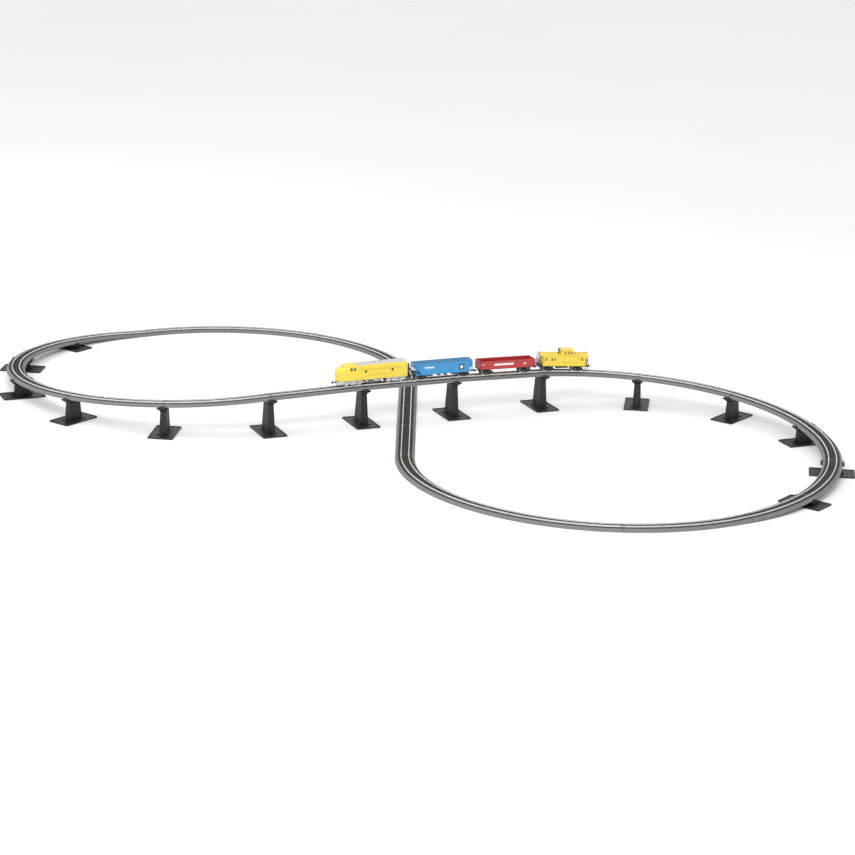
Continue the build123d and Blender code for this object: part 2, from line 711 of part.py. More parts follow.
def coupler_pocket(vehicle, frame, x, top):
    """Pocket under the floor that carries a coupler on its pin."""
    inward = -1 if x > 0 else 1
    low, high = sorted((x + inward * 4.2, x - inward * 2.6))
    back = sorted((x + inward * 4.2, x + inward * 2.8))
    block(vehicle, (low, high), (-3.0, 3.0), (COUPLER_HEIGHT + 1.2, top))
    block(vehicle, (low, high), (-3.0, 3.0), (COUPLER_HEIGHT - 2.0, COUPLER_HEIGHT - 1.2))
    block(vehicle, back, (-3.0, 3.0), (COUPLER_HEIGHT - 2.0, top))
    post(frame.offset(-1.7), (0, 0), COUPLER_PIN_RADIUS, 3.4)


for name, frame in coupler_frames.items():
    finish(coupler(frame, coupler_reach[name]), name)


# ---------------------------------------------------------------- car underframes
def underframe(vehicle, trucks, car, end, pivots, floor):
    """Centre sill, bolsters, kingpins, end sills and coupler pockets of a car, up to its floor."""
    block(vehicle, (-end + 8, end - 8), (-3.0, 3.0), (9.7, floor))
    for truck, x in zip(trucks, (1, -1)):
        middle = vehicle.to_local_coords(truck.origin).X
        block(vehicle, (middle - 3, middle + 3), (-15.0, 15.0), (11.0, floor))
        post(truck.offset(6.5), (0, 0), KINGPIN_RADIUS - FIT, 4.5)
        sill = sorted((x * (end - 2.2), x * end))
        block(vehicle, sill, (-15.9, 15.9), (11.4, floor))
        block(vehicle, sorted((x * (end - 10), x * end)), (-3.0, 3.0), (12.2, floor))
    for pivot, place in zip(pivots, END_NAMES):
        coupler_pocket(vehicle, coupler_frames[f"{car}_{place}_coupler"], pivot, floor)


# ---------------------------------------------------------------- covered hopper
def hopper_side():
    """Side outline of the hopper's tank: full height, with slope sheets rising to the ends."""
    right = [(0, HOPPER_SILL), (55, HOPPER_SILL), (HOPPER_END, 27.5), (HOPPER_END, HOPPER_TOP)]
    return right + [(-x, z) for x, z in reversed(right[1:])]


OUTLETS = ((31.0, 14.0), (8.0, 8.4), (-8.0, 8.4), (-31.0, 14.0))

with BuildPart() as hopper_body:
    prism(along(hopper), hopper_side(), HOPPER_HALF_WIDTH, both=True)
    shell = [(HOPPER_HALF_WIDTH, 14), (HOPPER_HALF_WIDTH, 33.5), (16.5, 37.2), (HOPPER_ROOF_HALF, HOPPER_TOP)]
    with BuildSketch(across(hopper)) as section:
        with BuildLine():
            Polyline(*mirrored(shell), close=True)
        make_face()
    extrude(section.sketch, amount=HOPPER_END + 1, both=True, mode=Mode.INTERSECT)
    inside = [(-54, 15.6), (54, 15.6), (70.8, 28.0), (70.8, 32.8), (-70.8, 32.8), (-70.8, 28.0)]
    prism(along(hopper), inside, HOPPER_HALF_WIDTH - 1.1, both=True, mode=Mode.SUBTRACT)
    block(hopper, (-70.8, 70.8), (-11.3, 11.3), (32, 40), mode=Mode.SUBTRACT)
    side_blocks(hopper, (-HOPPER_END, HOPPER_END), (16.0, HOPPER_HALF_WIDTH), (HOPPER_SILL - 1.6, HOPPER_SILL + 1))
    for x in (-HOPPER_END, HOPPER_END - 1.6):
        side_blocks(hopper, (x, x + 1.6), (15.6, 17.2), (HOPPER_SILL, 28.5))
    for x, length in OUTLETS:
        with BuildSketch(moved(hopper, x).offset(HOPPER_SILL + 1)) as mouth:
            Rectangle(length, 22)
        with BuildSketch(moved(hopper, x).offset(7.4)) as gate:
            Rectangle(length - 3.4, 15)
        loft([mouth.sketch.face(), gate.sketch.face()])
        block(hopper, (x - length / 2 + 1.2, x + length / 2 - 1.2), (-8.2, 8.2), (6.6, 7.6))
    block(hopper, (-60, 60), (-3.3, 3.3), (9, HOPPER_SILL + 0.3), mode=Mode.SUBTRACT)
    for truck in hopper_trucks:
        middle = hopper.to_local_coords(truck.origin).X
        block(hopper, (middle - 3.3, middle + 3.3), (-15.3, 15.3), (9, HOPPER_SILL), mode=Mode.SUBTRACT)
finish(hopper_body.part, "hopper_body")

with BuildPart() as hopper_roof:
    roof = [(HOPPER_ROOF_HALF + 0.3, HOPPER_TOP + 0.05), (HOPPER_ROOF_HALF + 0.3, HOPPER_TOP + 0.5)]
    roof += [(3.4, HOPPER_ROOF), (3.4, HOPPER_ROOF + 0.7), (2.4, HOPPER_ROOF + 0.7), (2.4, HOPPER_ROOF)]
    prism(across(hopper, -HOPPER_END), mirrored(roof), 2 * HOPPER_END)
    for x in (-54, -32.4, -10.8, 10.8, 32.4, 54):
        side_blocks(hopper, (x - 8.5, x + 8.5), (4.6, 8.6), (HOPPER_TOP + 0.5, HOPPER_ROOF + 0.5))
finish(hopper_roof.part, "hopper_roof")

with BuildPart() as hopper_underframe:
    underframe(hopper, hopper_trucks, "hopper", HOPPER_END - 1.8, HOPPER_PIVOTS, HOPPER_SILL - 0.1)
    for x in (-69.9, 57.5):
        block(hopper, (x, x + 12.4), (-15.2, 15.2), (HOPPER_SILL - 0.9, HOPPER_SILL - 0.1))
finish(hopper_underframe.part, "hopper_underframe")


# ---------------------------------------------------------------- gondola
GONDOLA_RIBS = 12
with BuildPart() as gondola_body:
    low, high = -GONDOLA_END, GONDOLA_END
    width = GONDOLA_HALF_WIDTH
    block(gondola, (low, high), (-width, width), (GONDOLA_FLOOR, GONDOLA_TOP))
    block(gondola, (low + 1.1, high - 1.1), (1.1 - width, width - 1.1), (GONDOLA_FLOOR + 1.2, 40), mode=Mode.SUBTRACT)
    side_blocks(gondola, (low, high), (width - 0.1, width + 0.5), (GONDOLA_TOP - 1.2, GONDOLA_TOP))
    side_blocks(gondola, (low, high), (width - 0.1, width + 0.5), (GONDOLA_FLOOR, GONDOLA_FLOOR + 1.4))
    for index in range(GONDOLA_RIBS + 1):
        x = low + 0.8 + index * (2 * GONDOLA_END - 1.6) / GONDOLA_RIBS
        side_blocks(gondola, (x - 0.7, x + 0.7), (width - 0.1, width + 0.4), (GONDOLA_FLOOR, GONDOLA_TOP))
    for x in (low - 0.5, high - 0.1):
        for y in (-12, -4, 4, 12):
            block(gondola, (x, x + 0.6), (y - 0.7, y + 0.7), (GONDOLA_FLOOR, GONDOLA_TOP))
finish(gondola_body.part, "gondola_body")

with BuildPart() as gondola_underframe:
    underframe(gondola, gondola_trucks, "gondola", GONDOLA_END, GONDOLA_PIVOTS, GONDOLA_FLOOR - 0.1)
finish(gondola_underframe.part, "gondola_underframe")


# ---------------------------------------------------------------- caboose
CABIN_HALF_WIDTH = 16.4
CABIN_WINDOWS = ((45.5, 5.0), (31.0, 4.2), (24.3, 4.2), (-44.6, 5.0))
WINDOW_LOW, WINDOW_HIGH = 27.0, 33.0
ROOF_OVERHANG = 60.6

with BuildPart() as caboose_body:
    width = CABIN_HALF_WIDTH
    block(caboose, (CABIN_REAR, CABIN_FRONT), (-width, width), (CABOOSE_FLOOR + 0.1, CABOOSE_EAVE))
    inside = (CABIN_REAR + 1.2, CABIN_FRONT - 1.2)
    block(caboose, inside, (1.2 - width, width - 1.2), (CABOOSE_FLOOR, 39), mode=Mode.SUBTRACT)
    for x, length in CABIN_WINDOWS:
        hole = (x - length / 2, x + length / 2)
        side_blocks(caboose, hole, (width - 0.6, width + 1), (WINDOW_LOW, WINDOW_HIGH), mode=Mode.SUBTRACT)
    for x in (CABIN_REAR - 1, CABIN_FRONT - 0.6):
        block(caboose, (x, x + 1.6), (-3.2, 3.2), (CABOOSE_FLOOR + 1.5, 33.5), mode=Mode.SUBTRACT)
finish(caboose_body.part, "caboose_body")


def roof_arch(half_width, eave, crown, thick):
    """Outline of an arched roof of one thickness."""
    upper = ThreePointArc((-half_width, eave), (0, crown), (half_width, eave))
    lower = ThreePointArc((-half_width, eave - thick), (0, crown - thick), (half_width, eave - thick))
    Line(upper @ 0, lower @ 0)
    Line(upper @ 1, lower @ 1)


with BuildPart() as caboose_roof:
    with BuildSketch(across(caboose, -ROOF_OVERHANG)) as arch:
        with BuildLine():
            roof_arch(CABOOSE_HALF_WIDTH + 0.6, CABOOSE_EAVE + 1.3, CABOOSE_ROOF, 1.2)
        make_face()
    extrude(arch.sketch, amount=2 * ROOF_OVERHANG)
    cupola = (CUPOLA_MIDDLE - CUPOLA_HALF_LENGTH, CUPOLA_MIDDLE + CUPOLA_HALF_LENGTH)
    block(caboose, cupola, (-13.4, 13.4), (CABOOSE_EAVE + 1.6, CUPOLA_TOP - 2.2))
    hollow = (cupola[0] + 1.2, cupola[1] - 1.2)
    block(caboose, hollow, (-12.2, 12.2), (CABOOSE_EAVE, CUPOLA_TOP - 3.6), mode=Mode.SUBTRACT)
    with BuildSketch(across(caboose, cupola[0] - 1.6)) as cap:
        with BuildLine():
            roof_arch(14.8, CUPOLA_TOP - 1.4, CUPOLA_TOP, 1.1)
        make_face()
    extrude(cap.sketch, amount=2 * CUPOLA_HALF_LENGTH + 3.2)
    for x in (-17.2, -9.6, -2.0):
        side_blocks(caboose, (x - 2.2, x + 2.2), (12.8, 14), (43.2, 48.2), mode=Mode.SUBTRACT)
    for x in (cupola[0] - 1, cupola[1] - 0.6):
        side_blocks(caboose, (x, x + 1.6), (2.6, 9.0), (44.2, 48.8), mode=Mode.SUBTRACT)
    block(caboose, (cupola[1] + 0.5, ROOF_OVERHANG), (-3.2, 3.2), (CABOOSE_ROOF - 0.2, CABOOSE_ROOF + 0.8))
    block(caboose, (-ROOF_OVERHANG, cupola[0] - 0.5), (-3.2, 3.2), (CABOOSE_ROOF - 0.2, CABOOSE_ROOF + 0.8))
finish(caboose_roof.part, "caboose_roof")

with BuildPart() as caboose_underframe:
    underframe(caboose, caboose_trucks, "caboose", CABOOSE_END, CABOOSE_PIVOTS, CABOOSE_FLOOR)
    block(caboose, (-CABOOSE_END, CABOOSE_END), (-15.6, 15.6), (CABOOSE_FLOOR - 1.2, CABOOSE_FLOOR))
    for x in (-CABOOSE_END, CABOOSE_END - 0.9):
        side_blocks(caboose, (x, x + 0.9), (12.6, 13.5), (CABOOSE_FLOOR, 24.4))
        side_blocks(caboose, (x, x + 0.9), (5.0, 5.9), (CABOOSE_FLOOR, 24.4))
        side_blocks(caboose, (x, x + 0.9), (5.0, 13.5), (23.6, 24.4))
        side_blocks(caboose, (x, x + 0.9), (5.0, 13.5), (18.4, 19.1))
        block(caboose, (x, x + 0.9), (-0.6, 0.6), (CABOOSE_FLOOR, 31.0))
    for x in (-60.5, 54.5):
        side_blocks(caboose, (x, x + 5.5), (15.0, 16.4), (7.4, 8.2))
        side_blocks(caboose, (x, x + 0.7), (15.0, 16.4), (7.4, CABOOSE_FLOOR))
        side_blocks(caboose, (x + 4.8, x + 5.5), (15.0, 16.4), (7.4, CABOOSE_FLOOR))
        side_blocks(caboose, (x, x + 5.5), (15.0, 16.4), (CABOOSE_FLOOR - 1.2, CABOOSE_FLOOR))
finish(caboose_underframe.part, "caboose_underframe")


# ---------------------------------------------------------------- locomotive
NOSE_STATIONS = (
    # x, half width, height where the side turns in, top
    (60.0, LOCO_HALF_WIDTH, 41.5, LOCO_ROOF),
    (68.0, 18.0, 41.0, 50.2),
    (76.0, 17.2, 38.5, 46.8),
    (83.0, 15.0, 35.0, 43.2),
    (88.0, 10.6, 31.5, 39.6),
    (LOCO_NOSE, 5.0, 27.0, 34.5),
)


def loco_section(half_width, shoulder, top, shrink, bottom):
    """Outline across the locomotive: flat sides that turn in to a rounded roof."""
    half, roof = half_width - shrink, top - shrink
    rise = roof - shoulder
    right = Bezier((half, shoulder), (half, shoulder + 0.75 * rise), (0.62 * half, roof), (0, roof))
    left = Bezier((0, roof), (-0.62 * half, roof), (-half, shoulder + 0.75 * rise), (-half, shoulder))
    Line(left @ 1, (-half, bottom))
    Line((-half, bottom), (half, bottom))
    Line((half, bottom), right @ 0)


def loco_hull(shrink, bottom):
    """Solid locomotive body, every wall moved in by shrink and cut off at bottom."""
    front = NOSE_STATIONS[0]
    with BuildPart() as hull:
        with BuildSketch(across(loco, LOCO_REAR + shrink)) as profile:
            with BuildLine():
                loco_section(*front[1:], shrink, bottom)
            make_face()
        extrude(profile.sketch, amount=front[0] - LOCO_REAR - shrink)
        faces = []
        for x, half_width, shoulder, top in NOSE_STATIONS:
            back = shrink * (x - front[0]) / (LOCO_NOSE - front[0])
            with BuildSketch(across(loco, x - back)) as station:
                with BuildLine():
                    loco_section(half_width, shoulder, top, shrink, bottom)
                make_face()
            faces.append(station.sketch.face())
        loft(faces)
    return hull.part


PORTHOLES = (22.3, -43.5)
PORTHOLE_HEIGHT = 33.8
PORTHOLE_RADIUS = 2.1
CAB_WINDOWS = ((58.5, 5.4), (49.8, 4.6))
CAB_WINDOW_LOW, CAB_WINDOW_HIGH = 38.9, 45.0
SCREEN_FOOT = (74.5, 0, 47)
HEADLIGHT_HEIGHT, HEADLIGHT_RADIUS = 33.0, 3.0


def loco_windows(grow):
    """Cutters through the body for the cab windows, portholes, windscreen and headlight."""
    with BuildPart() as cutters:
        for x, length in CAB_WINDOWS:
            hole = (x - length / 2 - grow, x + length / 2 + grow)
            side_blocks(loco, hole, (12, 20), (CAB_WINDOW_LOW - grow, CAB_WINDOW_HIGH + grow))
        for x in PORTHOLES:
            for side in (-1, 1):
                post(along(loco, 20 * side if side > 0 else -12), (x, PORTHOLE_HEIGHT), PORTHOLE_RADIUS + grow, 8)
        foot = loco.from_local_coords(SCREEN_FOOT)
        screen = Plane(origin=foot, x_dir=loco.y_dir, z_dir=loco.z_dir + loco.x_dir)
        side_blocks(screen, (1.0 - grow, 9.4 + grow), (-2.7 - grow, 2.7 + grow), (-7, 5))
        post(across(loco, 84), (0, HEADLIGHT_HEIGHT), HEADLIGHT_RADIUS + grow, 12)
    return cutters.part


outer_hull = loco_hull(0.0, LOCO_SKIRT)
with BuildPart() as loco_shell:
    add(outer_hull)
    add(loco_hull(SHELL_WALL, LOCO_SKIRT - 1), mode=Mode.SUBTRACT)
    add(loco_windows(0.0), mode=Mode.SUBTRACT)
finish(loco_shell.part, "loco_shell")

with BuildPart() as loco_glazing:
    add(loco_hull(0.35, LOCO_SKIRT))
    add(loco_hull(1.0, LOCO_SKIRT - 1), mode=Mode.SUBTRACT)
    add(loco_windows(-0.05), mode=Mode.INTERSECT)
finish(loco_glazing.part, "loco_glazing")

CHASSIS_FRONT, CHASSIS_REAR = 60.0, -78.0
CHASSIS_HALF_WIDTH = 16.6
CHASSIS_BOTTOM, CHASSIS_TOP = 14.6, 17.6
DIAPHRAGM_DEPTH = 5.2
MOTOR_HEIGHT = 26.0
MOTOR_HALF_LENGTH = 14.0

with BuildPart() as loco_chassis:
    block(loco, (CHASSIS_REAR, CHASSIS_FRONT), (-CHASSIS_HALF_WIDTH, CHASSIS_HALF_WIDTH), (CHASSIS_BOTTOM, CHASSIS_TOP))
    tank = [(9.0, 5.0), (15.4, 8.4), (15.4, CHASSIS_BOTTOM + 0.5)]
    prism(across(loco, -19), mirrored(tank), 41.0)
    side_blocks(loco, (-12, 12), (8.2, 11.0), (CHASSIS_TOP - 0.5, MOTOR_HEIGHT))
    for truck in loco_trucks:
        post(truck.offset(12.9), (0, 0), TOWER_RADIUS + FIT, 8, mode=Mode.SUBTRACT)
    diaphragm = (LOCO_REAR - DIAPHRAGM_DEPTH, LOCO_REAR - 0.1)
    block(loco, diaphragm, (-15.0, 15.0), (CHASSIS_BOTTOM - 0.8, 42.0))
    block(loco, (diaphragm[0] - 1, LOCO_REAR), (-3.6, 3.6), (17.8, 37.0), mode=Mode.SUBTRACT)
    block(loco, (LOCO_REAR - 0.5, CHASSIS_REAR + 1), (-6.4, 6.4), (CHASSIS_BOTTOM - 0.8, CHASSIS_BOTTOM + 0.3))
    for x in (-60, -30, 25, 38):
        side_blocks(loco, (x, x + 5), (CHASSIS_HALF_WIDTH - 0.1, CHASSIS_HALF_WIDTH + 0.35), (15.6, 17.0))
    for x, place in zip(LOCO_PIVOTS, END_NAMES):
        coupler_pocket(loco, coupler_frames[f"loco_{place}_coupler"], x, CHASSIS_BOTTOM)
    block(loco, (CHASSIS_FRONT - 1, CHASSIS_FRONT + 12), (-13.0, 13.0), (CHASSIS_BOTTOM, CHASSIS_TOP))
    block(loco, (CHASSIS_FRONT, LOCO_PIVOTS[0] + 2.6), (-3.0, 3.0), (CHASSIS_BOTTOM - 0.1, CHASSIS_TOP - 1))
finish(loco_chassis.part, "loco_chassis")

with BuildPart() as loco_motor:
    can = (-MOTOR_HALF_LENGTH, MOTOR_HALF_LENGTH)
    block(loco, can, (-8.1, 8.1), (MOTOR_HEIGHT - 6.6, MOTOR_HEIGHT + 6.6))
    block(loco, can, (-6.0, 6.0), (MOTOR_HEIGHT - 8.3, MOTOR_HEIGHT + 8.3))
    post(across(loco, -MOTOR_HALF_LENGTH - 1), (0, MOTOR_HEIGHT), 3.2, 2 * MOTOR_HALF_LENGTH + 2)
    post(across(loco, -20), (0, MOTOR_HEIGHT), AXLE_RADIUS + FIT, 40, mode=Mode.SUBTRACT)
finish(loco_motor.part, "loco_motor")


def shaft_half():
    """Outline of half the drive shaft: shaft, flywheel and worm, as distance and radius."""
    front, _ = (loco.to_local_coords(truck.origin).X for truck in loco_trucks)
    start, end = MOTOR_HALF_LENGTH + 2.5, MOTOR_HALF_LENGTH + 11.0
    points = [(0, AXLE_RADIUS), (start, AXLE_RADIUS), (start, FLYWHEEL_RADIUS - 0.4)]
    points += [(start + 0.4, FLYWHEEL_RADIUS), (end - 0.4, FLYWHEEL_RADIUS), (end, FLYWHEEL_RADIUS - 0.4)]
    points += [(end, AXLE_RADIUS), (front - 5, AXLE_RADIUS)]
    for turn in range(5):
        groove = front - 5 + 2 * turn
        points += [(groove + 0.5, WORM_RADIUS), (groove + 1.3, WORM_RADIUS), (groove + 2, WORM_ROOT)]
    return points + [(front + 6, WORM_ROOT), (front + 6, 0)]


with BuildPart() as loco_drive_shaft:
    centre_line = Plane(origin=loco.from_local_coords((0, 0, MOTOR_HEIGHT)), x_dir=loco.x_dir, z_dir=-loco.y_dir)
    half = shaft_half()
    with BuildSketch(centre_line) as profile:
        with BuildLine():
            Polyline(*half, *[(-x, y) for x, y in reversed(half[1:])], close=True)
        make_face()
    revolve(profile.sketch, axis=Axis(centre_line.origin, centre_line.x_dir))
finish(loco_drive_shaft.part, "loco_drive_shaft")
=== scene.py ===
import json
from math import atan2, cos, degrees, pi, radians, sin

import bmesh
import bpy
from mathutils import Matrix, Vector


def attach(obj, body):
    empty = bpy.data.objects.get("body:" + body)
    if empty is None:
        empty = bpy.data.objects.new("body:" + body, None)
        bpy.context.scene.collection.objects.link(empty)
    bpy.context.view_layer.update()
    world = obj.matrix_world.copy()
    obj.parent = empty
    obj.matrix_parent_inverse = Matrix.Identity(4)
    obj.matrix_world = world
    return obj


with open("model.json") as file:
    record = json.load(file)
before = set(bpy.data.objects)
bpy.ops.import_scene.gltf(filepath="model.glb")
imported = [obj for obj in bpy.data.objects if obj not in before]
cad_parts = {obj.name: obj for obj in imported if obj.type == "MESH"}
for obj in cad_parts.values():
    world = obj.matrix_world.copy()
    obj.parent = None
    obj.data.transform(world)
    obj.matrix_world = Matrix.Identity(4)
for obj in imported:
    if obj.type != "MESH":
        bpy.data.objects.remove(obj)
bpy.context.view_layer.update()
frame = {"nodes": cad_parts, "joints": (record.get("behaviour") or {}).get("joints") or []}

MM = 0.001
nodes = frame["nodes"]
joints = {joint["name"]: joint for joint in frame["joints"]}

# ------------------------------------------------------------------ camera
TARGET = Vector((0.078334, -0.037133, 0.0011))
DISTANCE = 6.29312
AZIMUTH, ELEVATION, ROLL = radians(29.8875), radians(16.6556), radians(1.5685)
FOCAL, SENSOR = 114.47, 36.0

back = Vector((sin(AZIMUTH) * cos(ELEVATION), -cos(AZIMUTH) * cos(ELEVATION), sin(ELEVATION)))
level = (-back).cross(Vector((0, 0, 1))).normalized()
above = level.cross(-back)
right = level * cos(ROLL) + above * sin(ROLL)
upward = above * cos(ROLL) - level * sin(ROLL)
camera = bpy.data.objects.new("camera", bpy.data.cameras.new("camera"))
bpy.context.scene.collection.objects.link(camera)
bpy.context.scene.camera = camera
bpy.context.scene.view_settings.view_transform = "Standard"
camera.data.lens = FOCAL
camera.data.sensor_width = SENSOR
camera.data.clip_start, camera.data.clip_end = 0.1, 100.0
spot = TARGET + back * DISTANCE
camera.matrix_world = Matrix((
    (right.x, upward.x, back.x, spot.x),
    (right.y, upward.y, back.y, spot.y),
    (right.z, upward.z, back.z, spot.z),
    (0, 0, 0, 1),
))


# ------------------------------------------------------------------ frames, in millimetres
def frame_matrix(origin, forward, lift):
    """Matrix from a frame's millimetres to the scene's metres: x forward, y left, z up."""
    forward = forward.normalized()
    left = lift.cross(forward).normalized()
    lift = forward.cross(left)
    return Matrix((
        (forward.x * MM, left.x * MM, lift.x * MM, origin.x),
        (forward.y * MM, left.y * MM, lift.y * MM, origin.y),
        (forward.z * MM, left.z * MM, lift.z * MM, origin.z),
        (0, 0, 0, 1),
    ))


def pivot(name):
    """Position and axis of a joint."""
    joint = joints[name]
    return Vector(joint["pos_m"]), Vector(joint["axis"])


def vehicle_matrix(body):
    """Frame of a vehicle, from the swivels of its two trucks."""
    front, lift = pivot(f"{body}_front_truck_swivel")
    rear, other_lift = pivot(f"{body}_rear_truck_swivel")
    return frame_matrix((front + rear) / 2, front - rear, lift + other_lift)


def truck_matrix(body, end):
    """Frame of a truck, on the rail tops below its swivel."""
    place, lift = pivot(f"{body}_{end}_truck_swivel")
    leading, _ = pivot(f"{body}_{end}_leading_wheelset_spin")
    trailing, _ = pivot(f"{body}_{end}_trailing_wheelset_spin")
    return frame_matrix(place, leading - trailing, lift)


VEHICLES = ("locomotive", "hopper", "gondola", "caboose")
vehicles = {body: vehicle_matrix(body) for body in VEHICLES}


# ------------------------------------------------------------------ materials
class Paint:
    """Node material built up step by step, all in object coordinates."""

    def __init__(self, name, colour, roughness, metallic=0.0, coat=0.0):
        self.material = bpy.data.materials.new(name)
        self.material.use_nodes = True
        self.tree = self.material.node_tree
        self.shader = self.tree.nodes["Principled BSDF"]
        self.shader.inputs["Metallic"].default_value = metallic
        self.shader.inputs["Coat Weight"].default_value = coat
        self.shader.inputs["Coat Roughness"].default_value = 0.18
        self.coordinates = self.node("ShaderNodeTexCoord").outputs["Object"]
        self.colour = None
        self.flat = (*colour, 1.0)
        self.roughness = roughness
        self.shader.inputs["Roughness"].default_value = roughness
        self.bump = None

    def node(self, kind, **settings):
        made = self.tree.nodes.new(kind)
        for key, value in settings.items():
            setattr(made, key, value)
        return made

    def link(self, source, target):
        self.tree.links.new(source, target)

    def noise(self, scale, detail=3.0, stretch=None, roughness=0.55):
        made = self.node("ShaderNodeTexNoise")
        made.inputs["Scale"].default_value = scale
        made.inputs["Detail"].default_value = detail
        made.inputs["Roughness"].default_value = roughness
        source = self.coordinates
        if stretch:
            mapping = self.node("ShaderNodeMapping")
            mapping.inputs["Scale"].default_value = stretch
            self.link(source, mapping.inputs["Vector"])
            source = mapping.outputs["Vector"]
        self.link(source, made.inputs["Vector"])
        return made.outputs["Fac"]

    def ramp(self, source, low, high):
        made = self.node("ShaderNodeMapRange")
        made.inputs["From Min"].default_value, made.inputs["From Max"].default_value = low, high
        self.link(source, made.inputs["Value"])
        return made.outputs["Result"]

    def mix(self, factor, colour):
        """Lay a colour over what is there, by a factor socket."""
        made = self.node("ShaderNodeMix", data_type="RGBA")
        if self.colour is None:
            made.inputs[6].default_value = self.flat
        else:
            self.link(self.colour, made.inputs[6])
        made.inputs[7].default_value = (*colour, 1.0)
        self.link(factor, made.inputs[0])
        self.colour = made.outputs[2]

    def math(self, operation, one, other, third=None):
        made = self.node("ShaderNodeMath", operation=operation)
        for socket, value in zip(made.inputs, (one, other, third)):
            if value is None:
                continue
            if isinstance(value, (int, float)):
                socket.default_value = value
            else:
                self.link(value, socket)
        return made.outputs[0]

    def mottle(self, scale, colour, amount, low=0.45, high=0.75):
        """Uneven colour: a soft noise lays a second colour over the first."""
        mask = self.ramp(self.noise(scale, 5.0), low, high)
        self.mix(self.math("MULTIPLY", mask, amount), colour)

    def sheen_map(self, scale, spread):
        """Roughness that varies over the surface."""
        varied = self.math("MULTIPLY_ADD", self.noise(scale, 4.0), spread, self.roughness - spread / 2)
        self.link(varied, self.shader.inputs["Roughness"])

    def relief(self, height, strength, distance):
        made = self.node("ShaderNodeBump")
        made.inputs["Strength"].default_value = strength
        made.inputs["Distance"].default_value = distance
        self.link(height, made.inputs["Height"])
        if self.bump is not None:
            self.link(self.bump, made.inputs["Normal"])
        self.bump = made.outputs["Normal"]

    def local(self, matrix):
        """x, y and z in a vehicle's own millimetres."""
        inverse = matrix.inverted()
        mapping = self.node("ShaderNodeMapping")
        mapping.inputs["Location"].default_value = inverse.to_translation()
        mapping.inputs["Rotation"].default_value = inverse.to_euler()
        mapping.inputs["Scale"].default_value = inverse.to_scale()
        self.link(self.coordinates, mapping.inputs["Vector"])
        split = self.node("ShaderNodeSeparateXYZ")
        self.link(mapping.outputs["Vector"], split.inputs[0])
        return split.outputs

    def band(self, socket, low, high):
        """1 where a value lies between two limits."""
        return self.math("COMPARE", socket, (low + high) / 2, (high - low) / 2)

    def patch(self, position, x, z, colour, strength=1.0, wall=15.0):
        """A painted rectangle on the outside of a vehicle's sides."""
        inside = self.math("MULTIPLY", self.band(position["X"], *x), self.band(position["Z"], *z))
        outside = self.math("GREATER_THAN", self.math("ABSOLUTE", position["Y"], None), wall)
        self.mix(self.math("MULTIPLY", self.math("MULTIPLY", inside, outside), strength), colour)

    def done(self):
        if self.colour is None:
            self.shader.inputs["Base Color"].default_value = self.flat
        else:
            self.link(self.colour, self.shader.inputs["Base Color"])
        if self.bump is not None:
            self.link(self.bump, self.shader.inputs["Normal"])
        return self.material


def plastic(name, colour, roughness, coat=0.0, grain=0.00002, dirt=(0.3, 0.27, 0.22), amount=0.08):
    """Moulded or painted plastic: faint mottling, dust, and a fine grain."""
    paint = Paint(name, colour, roughness, coat=coat)
    paint.mottle(60.0, tuple(c * 0.82 for c in colour), 0.5)
    paint.mottle(240.0, dirt, amount, 0.5, 0.8)
    paint.sheen_map(180.0, 0.14)
    paint.relief(paint.noise(2600.0, 2.0), 0.35, grain)
    return paint


DRAWN = (40.0, 40.0, 900.0)
TARNISH = (0.20, 0.17, 0.14)


def metal(name, colour, roughness, amount=0.25):
    """Drawn or turned metal: fine streaks and patchy tarnish."""
    paint = Paint(name, colour, roughness, metallic=1.0)
    paint.mottle(90.0, TARNISH, amount)
    paint.sheen_map(300.0, 0.2)
    paint.relief(paint.noise(1.0, 3.0, DRAWN), 0.25, 0.00003)
    return paint


YELLOW = (0.79, 0.61, 0.05)
BLUE = (0.03, 0.26, 0.56)
# Painted shade: a darker teal for the hopper's roof and the top edge of its sides.
SHADED_TEAL = (0.035, 0.20, 0.40)
RED = (0.44, 0.032, 0.038)
WHITE = (0.82, 0.82, 0.80)
BLACK = (0.010, 0.010, 0.011)
SILVER = (0.60, 0.59, 0.56)
STRIPE = (0.42, 0.22, 0.02)
PALE_BAR = (0.84, 0.72, 0.68)
BLACK_DUST = (0.12, 0.11, 0.10)


def rail_material():
    """Nickel-silver rail: bright and half diffuse, so that it shines from every side."""
    paint = Paint("rail_metal", (0.92, 0.91, 0.89), 0.32, metallic=0.55)
    paint.mottle(90.0, (0.40, 0.36, 0.31), 0.2)
    paint.sheen_map(300.0, 0.2)
    paint.relief(paint.noise(1.0, 3.0, DRAWN), 0.2, 0.00003)
    return paint.done()


